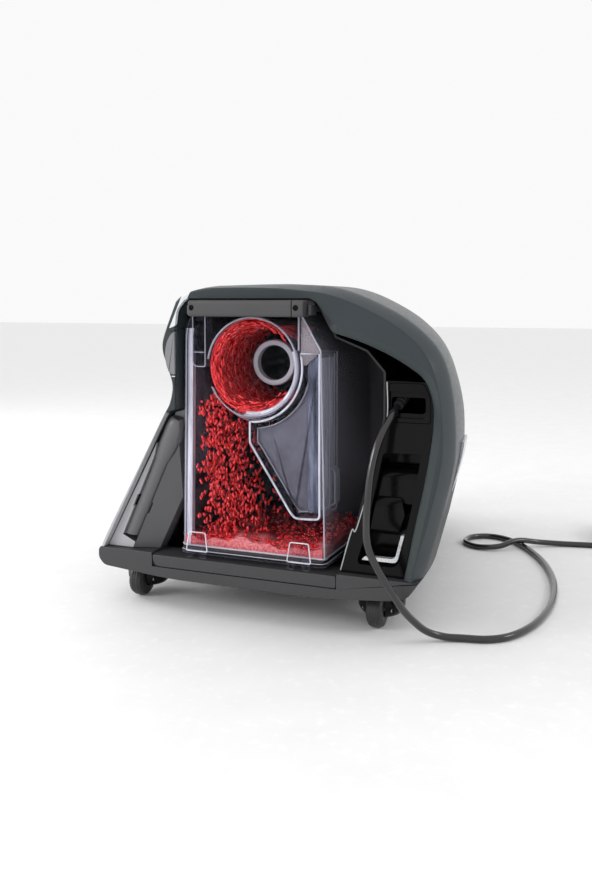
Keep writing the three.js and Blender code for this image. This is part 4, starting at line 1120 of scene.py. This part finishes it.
def make_lid():
    """The clear flap under the container, its seal and its two hinges."""
    left, right, front, back = BIN["left"], BIN["right"], BIN["front"], BIN["back"]
    plate = prism(rectangle(left - 1, right + 1, front - 1, back + 1, 9, 6), 56, 60, "z", 0.8)
    finish(plate, "container_flap", "clear", "container_lid", angle=40)
    # A milky line round the flap's edge: a painted highlight.
    edge = rectangle(left - 0.6, right + 0.6, front - 0.6, back + 0.6, 9, 6)
    line_piece("container_flap_edge", lay(edge, 59.6, "z"), 0.5, closed=True)
    outer = prism(rectangle(left, right, front, back, 8, 6), 60.3, 62.7, "z")
    inner = prism(rectangle(left + 5, right - 5, front + 5, back - 5, 4, 6), 59, 64, "z")
    finish(cut(outer, inner), "flap_seal", "rubber", "lid_seal", bevel=0.6)
    for name, x0, x1 in (("lid_hinge_left", -53, -31), ("lid_hinge_right", 50, 73)):
        outline = rounded([(x0, 60), (x1, 60), (x1 - 2, 78), (x0 + 3, 78)], 1.8)
        window = [(x0 + 2.4, 62.5), (x1 - 2.4, 62.5), (x1 - 4, 75.6), (x0 + 5, 75.6)]
        flap, inner = prism(outline, 4, 6.6, "y", 0.7), prism(rounded(window, 1.2), 3, 4.9)
        knuckles = [prism(rounded([(0.5, 54), (6.6, 54), (6.6, 62), (0.5, 62)], 2.4), a, a + 5, "x", 0.4)
                    for a in (x0 + 1.5, x1 - 6.5)]
        body = join(cut(flap, inner), *knuckles)
        finish(body, name + "_knuckles", "clear", name, angle=35)
        # A bright line round each hinge flap: a painted highlight on its edge.
        line_piece(name + "_edge", lay(outline, 3.9, "y"), 0.55, "glare", closed=True)


def make_container_top():
    """The frame over the container, and the grab bar that tilts on its pins."""
    frame_top = BIN["top"] + 0.4
    corners = [(-46, frame_top), (76.8, frame_top), (76.8, 291), (72, 297.4), (-44, 297.4), (-46, 294)]
    beam = prism(rounded(corners, [0.6, 0.6, 2, 2.5, 1.5, 1]), 9, 28, "y", 1.2)
    screw_centres = [(x, 0, SCREW_Z) for x in GRAB_BAR_SCREWS]
    lugs = [block(x0, x1, -6, 12, 283, 292, 1.2) for x0, x1 in ((-46, -40.4), (73.2, 76.8))]
    pins = [turned([(0, a), (2, a), (2, b), (0, b)], "x", (0, *GRAB_BAR_PIVOT), 32)
            for a, b in ((-42, -37.5), (70.5, 75))]
    below = block(-60, 100, 7.9, 40, 270, frame_top - 0.05)
    finish(cut(join(beam, *lugs, *pins), below), "container_top_frame", "handle", "top_frame", bevel=0.3)
    section = rounded([(-15, 281.5), (-1, 281.5), (-1, 296.3), (-15, 296.3)], [2.6, 2, 2, 2.6], 4)
    bar = prism(section, -40, 72.8, "x", 1.2)
    sockets = [turned([(0, -4), (2.4, -4), (2.4, 4), (0, 4)], "x", (x, *GRAB_BAR_PIVOT), 32)
               for x in (-40.4, 73.2)]
    dimple = [(0, -17), (2.6, -17), (2.6, -13.4), (2.0, -12.6), (0, -12.6)]
    dimples = [turned(dimple, "y", centre, 40) for centre in screw_centres]
    groove = block(61.6, 62.5, -17, -0.5, 280, 298)
    finish(cut(bar, *sockets, *dimples, groove), "grab_bar_grip", "handle", "container_handle", bevel=0.35)
    profile = rounded([(0, -13.9), (1.9, -13.9), (1.9, -12.4), (0, -12.4)], [0, 0.4, 0.1, 0])
    for index, x in enumerate(GRAB_BAR_SCREWS):
        head = turned(profile, "y", screw_centres[index], 40)
        slotted = cut(head, block(x - 1.7, x + 1.7, -14.4, -13.4, 289.3, 289.9))
        finish(slotted, f"grab_bar_screw_{index + 1}", "dark", body="grab_bar")


# ------------------------------------------------------------------ inside the body
def make_internals():
    for node in ("motor_housing", "inlet_duct", "intake_duct"):
        refined(node, "base", bevel=0.8, angle=35)
    refined("motor_stator", "copper", bevel=0.6)
    refined("motor_seal", "rubber", bevel=0.5)
    refined("motor_fan", "steel", bevel=0.4)
    refined("cable_reel", "dark", bevel=0.8)
    refined("reel_bracket", "steel", bevel=0.5)


# ------------------------------------------------------------------ casters
CASTER = dict(radius=17, width=15, trail=14, hood=22, hood_bottom=9)


def make_casters():
    """Swivelling hoods with a recessed wheel, its rounded tyre, hub cap and axle."""
    r, half, trail = CASTER["radius"], CASTER["width"] / 2, CASTER["trail"]
    hood, low = CASTER["hood"], CASTER["hood_bottom"]
    for spot, (x, y) in CASTER_SPOTS.items():
        corners = [(0, low), (hood - 6, low), (hood - 1, low + 5), (hood, 20), (hood, BASE_BOTTOM - 0.6),
                   (24.4, BASE_BOTTOM - 0.6), (24.4, 44.4), (0, 44.4)]
        cover = turned(rounded(corners, [0, 3, 4, 4, 0.8, 0.3, 2, 0], 4), "z", (x, y, 0), 72)
        slot = block(x - half - 0.8, x + half + 0.8, y - trail - r - 3, y - trail + r + 1, -1,
                     2 * r + 1, 2)
        bore = turned([(0, -15), (2.9, -15), (2.9, 15), (0, 15)], "x", (x, y - trail, r), 32)
        finish(cut(cover, slot, bore), f"{spot}_caster_hood", "dark", f"{spot}_swivel", bevel=0.4,
               angle=40)
        grooves = [(r, -half + 5), (r - 0.5, -1.6), (r - 0.5, -1), (r, 0), (r - 0.5, 1),
                   (r - 0.5, 1.6), (r, half - 5)]
        tyre = [(2.9, -half + 1), (6.5, -half + 1), (7.2, -half), (r - 5, -half),
                (r - 1.6, -half + 1.4), *grooves, (r - 1.6, half - 1.4), (r - 5, half), (7.2, half),
                (6.5, half - 1), (2.9, half - 1)]
        wheel = turned(rounded(tyre, 0.4, 2), "x", (x, y - trail, r), 72)
        finish(wheel, f"{spot}_tyre", "tread", f"{spot}_wheel")
        pin = rounded([(0, -14), (2.5, -14), (2.5, 14), (0, 14)], [0, 0.6, 0.6, 0], 3)
        finish(turned(pin, "x", (x, y - trail, r), 32), f"{spot}_axle_pin", "steel", f"{spot}_axle")


# ------------------------------------------------------------------ power cord
CORD_ROUTE = [
    (150, 12, 204), (148, 2, 197), (143, -8, 184), (139, -15, 169), (136, -20, 149), (135, -24, 128),
    (134.5, -26, 111), (135, -26, 95), (138, -25, 83), (143, -23, 72), (149, -20, 60), (155, -15, 48),
    (161, -7, 34), (168, 2, 22), (177, 12, 11), (190, 22, 4.6), (207, 28, 3.4), (226, 33, 3.4),
    (243, 48, 3.4), (257, 80, 3.4), (265, 125, 3.4), (266, 175, 3.4), (259, 232, 3.4), (243, 288, 3.4),
    (221, 334, 3.4), (196, 368, 3.4), (168, 380, 3.4), (147, 367, 3.4), (144, 343, 3.4),
    (161, 326, 3.4), (186, 328, 5.5), (206, 345, 10.4), (228, 364, 6), (256, 377, 3.4),
    (288, 383.5, 3.4), (320, 387, 3.4),
]


def coil_points():
    """The stored length, wound outside to inside and back in four layers, then led up to the plug."""
    step, half = CORD_DIAMETER, CORD_DIAMETER / 2
    wide = COIL["turns_wide"]
    radii = [COIL["middle"] + step * (wide / 2 - 0.5 - k) for k in range(wide)]
    turns = []
    for layer in range(COIL["turns_high"]):
        row = radii if layer % 2 == 0 else radii[::-1]
        turns += [(r, half + step * layer) for r in row]
    points = []
    per_turn, leave = 24, 3
    last = len(turns) * per_turn + leave
    for k in range(1, last + 1):
        turn, share = k // per_turn, (k % per_turn) / per_turn
        here = turns[min(turn, len(turns) - 1)]
        after = turns[min(turn + 1, len(turns) - 1)]
        t = smooth(0.5, 1, share)
        r, z = here[0] + (after[0] - here[0]) * t, here[1] + (after[1] - here[1]) * t
        angle = math.radians(-90) + 2 * math.pi * k / per_turn
        points.append((*around((COIL["x"], COIL["y"]), r, angle), z))
    swing, end = 26.5, (383, 479, 34.8)
    centre = (end[0], end[1] - swing)
    top = points[-1][2]
    for k in range(11):
        t = k / 10
        height = top + (end[2] - top) * smooth(-0.25, 0.9, t)
        points.append((*around(centre, swing, math.radians(-36 + 126 * t)), height))
    return points


def make_cord():
    route = [CORD_ROUTE[0]] + spline(CORD_ROUTE, 6)
    points = [metres(p) for p in route + coil_points()]
    data = bpy.data.curves.new("power_cord", "CURVE")
    data.dimensions = "3D"
    data.bevel_depth = CORD_DIAMETER / 2000
    data.bevel_resolution = 5
    data.use_fill_caps = True
    line = data.splines.new("POLY")
    line.points.add(len(points) - 1)
    for place, point in zip(line.points, points):
        place.co = (*point, 1)
    line.use_smooth = True
    cord = bpy.data.objects.new("power_cord", data)
    data.materials.append(MATERIALS["cord"])
    scene.collection.objects.link(cord)
    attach(cord, "body")
    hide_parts("cord_tube", "cord_coil")
    pieces = make_plug() + [make_tie()]
    make_gland()


def make_plug():
    """A moulded two-pin plug lying on the coil, with a ribbed sleeve where the cord enters."""
    x, y, top = COIL["x"] - 6, COIL["y"] + COIL["middle"], 26 + 0.3
    corners = [(-20, -13), (14, -13), (20, -6), (20, 6), (14, 13), (-20, 13)]
    plan = [(x + u, y + v) for u, v in rounded(corners, [4, 5, 4, 4, 5, 4], 5)]
    body = prism(plan, top, top + 17, "z", 3.5)
    grips = [block(x + u, x + u + 1.6, y + side * 13 - 0.8, y + side * 13 + 0.8, top + 3.4, top + 13.6)
             for u in (-6, 0, 6) for side in (-1, 1)]
    profile = [(0, 17)]
    for k in range(7):
        wide, at = 5 - 1.3 * k / 6, 3.5 * k
        profile += [(wide, 18 + at), (wide, 19.9 + at), (wide - 0.6, 20.2 + at), (wide - 0.6, 21.2 + at)]
    sleeve = turned(profile[:-1] + [(0, profile[-2][1])], "x", (x, y, top + 8.5), 40)
    plug = finish(join(cut(body, *grips), sleeve), "mains_plug", "rubber", "plug", bevel=0.3, angle=50)
    pins = []
    for side in (-9.5, 9.5):
        pin = [(0, -39), (1.6, -39), (2.4, -37.8), (2.4, -19.6), (0, -19.6)]
        pins.append(turned(rounded(pin, [0, 0.6, 1, 0.2, 0], 4), "x", (x, y + side, top + 8.5), 32))
    metal = finish(join(*pins), "mains_plug_pins", "steel", body="body")
    return [plug, metal]


def make_tie():
    """A hook-and-loop strap round the coil, with its loose end laid on top."""
    x, y, middle = COIL["x"], COIL["y"], COIL["middle"]
    near, far = x - middle - 14.2, x - middle + 14.2
    outer = prism(rectangle(near, far, 0.1, 27.6, 3.5), y - 7, y + 7, "y", 0.4)
    inner = prism(rectangle(near + 1.1, far - 1.1, 0.9, 26.5, 2.6), y - 8, y + 8)
    tail = rounded([(near + 3, 27.0), (far - 1, 27.0), (far + 1, 28.4), (near + 3, 28.8)], 0.4)
    strap = join(cut(outer, inner), prism(tail, y - 6.5, y + 6.5, "y", 0.3))
    return finish(strap, "cord_tie", "rubber", body="body", angle=40)


def make_gland():
    """The tapered, ribbed strain relief where the cord leaves the slot."""
    outward = Vector((-0.1, -0.87, -0.48)).normalized()
    turn = Vector((0, 1, 0)).rotation_difference(outward).to_matrix()
    profile = [(0, -24), (6, -24), (6, -19)]
    for k in range(5):
        wide, at = 5.9 - 1.5 * k / 4, 3.6 * k
        profile += [(wide, -18 + at), (wide, -16 + at), (wide - 0.7, -15.7 + at), (wide - 0.7, -14.7 + at)]
    profile = profile[:-2] + [(profile[-3][0], 0), (0, 0)]
    sleeve = turned(profile, "y", (150.6, 13.5, 204.8), 48, turn)
    finish(sleeve, "cord_strain_relief", "rubber", "cord_gland")


# ------------------------------------------------------------------ collected dust
def bead_mesh(name, places):
    """Many small rounded granules as one piece; each place is (centre, direction, length, width)."""
    sides, rows = 5, [(-0.5, 0.35), (-0.28, 0.9), (0.28, 0.9), (0.5, 0.35)]
    verts, faces = [], []
    for centre, direction, long, wide in places:
        along = Vector(direction).normalized()
        up = along.orthogonal().normalized()
        side = along.cross(up)
        start = len(verts)
        for share, width in rows:
            verts += ring(Vector(centre) + along * (share * long), up, side, width * wide / 2, sides)
        for row in range(len(rows) - 1):
            a, b = start + row * sides, start + (row + 1) * sides
            faces += [(a + i, a + (i + 1) % sides, b + (i + 1) % sides, b + i) for i in range(sides)]
        last = start + (len(rows) - 1) * sides
        faces += [tuple(range(start + sides - 1, start - 1, -1)), tuple(range(last, last + sides))]
    mesh = bpy.data.meshes.new(name)
    mesh.from_pydata([metres(v) for v in verts], [], faces)
    mesh.materials.append(MATERIALS["beads"])
    mesh.shade_smooth()
    obj = bpy.data.objects.new(name, mesh)
    scene.collection.objects.link(obj)
    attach(obj, "container")


def sheet_faces(rows, columns):
    """A closed sheet's faces: a grid of points, a second grid behind it, and the wall round their rims."""
    across = columns + 1
    count = (rows + 1) * across
    faces = []
    for a in (row * across + column for row in range(rows) for column in range(columns)):
        b = a + across
        faces += [(a, a + 1, b + 1, b), (a + count, b + count, b + 1 + count, a + 1 + count)]
    rim = list(range(across)) + [row * across + columns for row in range(1, rows + 1)]
    rim += [rows * across + column for column in range(columns - 1, -1, -1)]
    rim += [row * across for row in range(rows - 1, 0, -1)]
    return faces + [(b, a, a + count, b + count) for a, b in zip(rim, rim[1:] + rim[:1])]


def dust_coat():
    """The dense layer pressed against the left of the drum's wall: a thin, uneven curved sheet."""
    axis = CYCLONE["x"], CYCLONE["z"]
    chance = random.Random(3)
    turns, deep, wall_radius = 70, 26, 44.4
    inner, outer = [], []
    for i in range(turns + 1):
        for j in range(deep + 1):
            angle = math.radians(58 + 232 * i / turns)
            y = 17 + 101 * j / deep
            fade = min(1, 6 * min(i, turns - i) / turns, 6 * min(j, deep - j) / deep + 0.4)
            r = 44.3 - fade * (1.2 + chance.uniform(0, 1.6) + math.sin(angle * 9 + y * 0.12))
            inner += lay([around(axis, r, angle)], y, "y")
            outer += lay([around(axis, wall_radius, angle)], y, "y")
    bin_piece(solid(inner + outer, sheet_faces(turns, deep)), "swirling_dust", "beads", 60)


def make_dust():
    """Granules flung round the drum, falling through its mouth and settled on the flap."""
    chance = random.Random(7)
    dust_coat()
    swirl = []
    while len(swirl) < 2600:
        angle = math.radians(chance.triangular(35, 325, 190))
        y = 16 + 100 * chance.random() ** 1.4
        r = 42.6 - abs(chance.gauss(0, 3.4))
        x, z = around((CYCLONE["x"], CYCLONE["z"]), r, angle)
        if math.hypot(x - OUTLET["x"], z - OUTLET["z"]) < VORTEX["outer"] + 5:
            continue
        direction = (-math.sin(angle), chance.gauss(0, 0.15), math.cos(angle))
        swirl.append(((x, y, z), direction, chance.uniform(4, 9), chance.uniform(1.5, 2.5)))
    bead_mesh("swirling_granules", swirl)
    stream = []
    while len(stream) < 1150:
        fall = chance.random()
        cz = 205 - 134 * fall
        y = 14 + 75 * chance.random() ** 1.5
        spread = 24 + 20 * fall
        cx = -30 + 14 * fall + spread * chance.triangular(-1, 1, -0.25)
        wall = 6 if cz > 160 else 9 + (160 - cz) * 0.6
        if cx > wall or cx < BIN["left"] + 15 or (cz > 188 and cx > -20):
            continue
        direction = (chance.gauss(0, 0.3), chance.gauss(0, 0.3), 1)
        stream.append(((cx, y, cz), direction, chance.uniform(3, 6), chance.uniform(1.8, 3.0)))
    bead_mesh("falling_granules", stream)
    left, right, near, far = BIN["left"] + 3.2, BIN["right"] - 3.4, BIN["front"] + 3.2, BIN["back"] - 3.2
    wide, deep, floor_z = 60, 56, 62.9
    verts = []
    for j in range(deep + 1):
        for i in range(wide + 1):
            u, v = left + (right - left) * i / wide, near + (far - near) * j / deep
            heap = 70.2 + 1.8 * math.sin(u * 0.09 + 1) * math.sin(v * 0.07)
            heap += 1.6 * math.sin(u * 0.23 + v * 0.11)
            heap += chance.gauss(0, 0.35) + 3.2 * math.exp(-((u + 5) / 26) ** 2)
            verts.append((u, v, heap))
    verts += [(u, v, floor_z) for u, v, _ in verts]
    bin_piece(solid(verts, sheet_faces(deep, wide)), "settled_dust", "powder", 60)
    grains = []
    for _ in range(700):
        u, v = chance.uniform(left + 2, right - 2), near + 4 + (far - near - 8) * chance.random() ** 1.6
        lift = chance.triangular(70.5, 75.5, 72)
        direction = (chance.gauss(0, 1), chance.gauss(0, 1), 0.2)
        grains.append(((u, v, lift), direction, chance.uniform(2.5, 5), chance.uniform(1.5, 2.3)))
    for _ in range(260):
        centre = (chance.uniform(left + 2, right - 2), near + 0.9, chance.uniform(64, 73))
        direction = (chance.gauss(0, 1), 0, chance.gauss(0, 1))
        grains.append((centre, direction, chance.uniform(2.2, 4.4), chance.uniform(1.3, 2.0)))
    bead_mesh("settled_granules", grains)


# ------------------------------------------------------------------ light and floor
def make_stage():
    """A plain pale floor, an even pale world and three soft lamps."""
    mesh = bpy.data.meshes.new("floor")
    mesh.from_pydata([(-9, -9, 0), (9, -9, 0), (9, 9, 0), (-9, 9, 0)], [], [(0, 1, 2, 3)])
    mesh.materials.append(plastic("floor_surface", (0.86, 0.86, 0.86), 0.6, grain=90, depth=0.02,
                                  mottle=0.015, specular=0.2))
    floor = bpy.data.objects.new("floor", mesh)
    scene.collection.objects.link(floor)
    world = bpy.data.worlds.new("studio")
    world.use_nodes = True
    background = world.node_tree.nodes["Background"]
    background.inputs["Color"].default_value = (0.88, 0.88, 0.885, 1)
    background.inputs["Strength"].default_value = 1.08
    scene.world = world
    lights = [("key", (-1400, -1300, 900), 0.8, 16), ("right_rim", (1500, 300, 900), 0.5, 4),
              ("left_rim", (-1500, 200, 700), 0.6, 8)]
    for name, place, size, power in lights:
        data = bpy.data.lights.new(name, "AREA")
        data.shape = "RECTANGLE"
        data.size, data.size_y = size, size * 0.7
        data.energy = power
        light = bpy.data.objects.new(name, data)
        light.location = metres(place)
        light.rotation_euler = (metres((0, 150, 150)) - light.location).to_track_quat("-Z", "Y").to_euler()
        scene.collection.objects.link(light)
    scene.view_settings.view_transform = "Standard"
    scene.view_settings.look = "None"


# ------------------------------------------------------------------ assembly
make_camera()
make_cord()
make_shell()
make_base()
make_top()
make_exhaust()
make_rear_panels()
make_nozzle()
make_waist_panel()
make_trim_tab()
make_container_body()
make_corner_highlights()
make_cyclone()
make_funnel()
make_lid()
make_container_top()
make_internals()
make_casters()
make_dust()
make_stage()
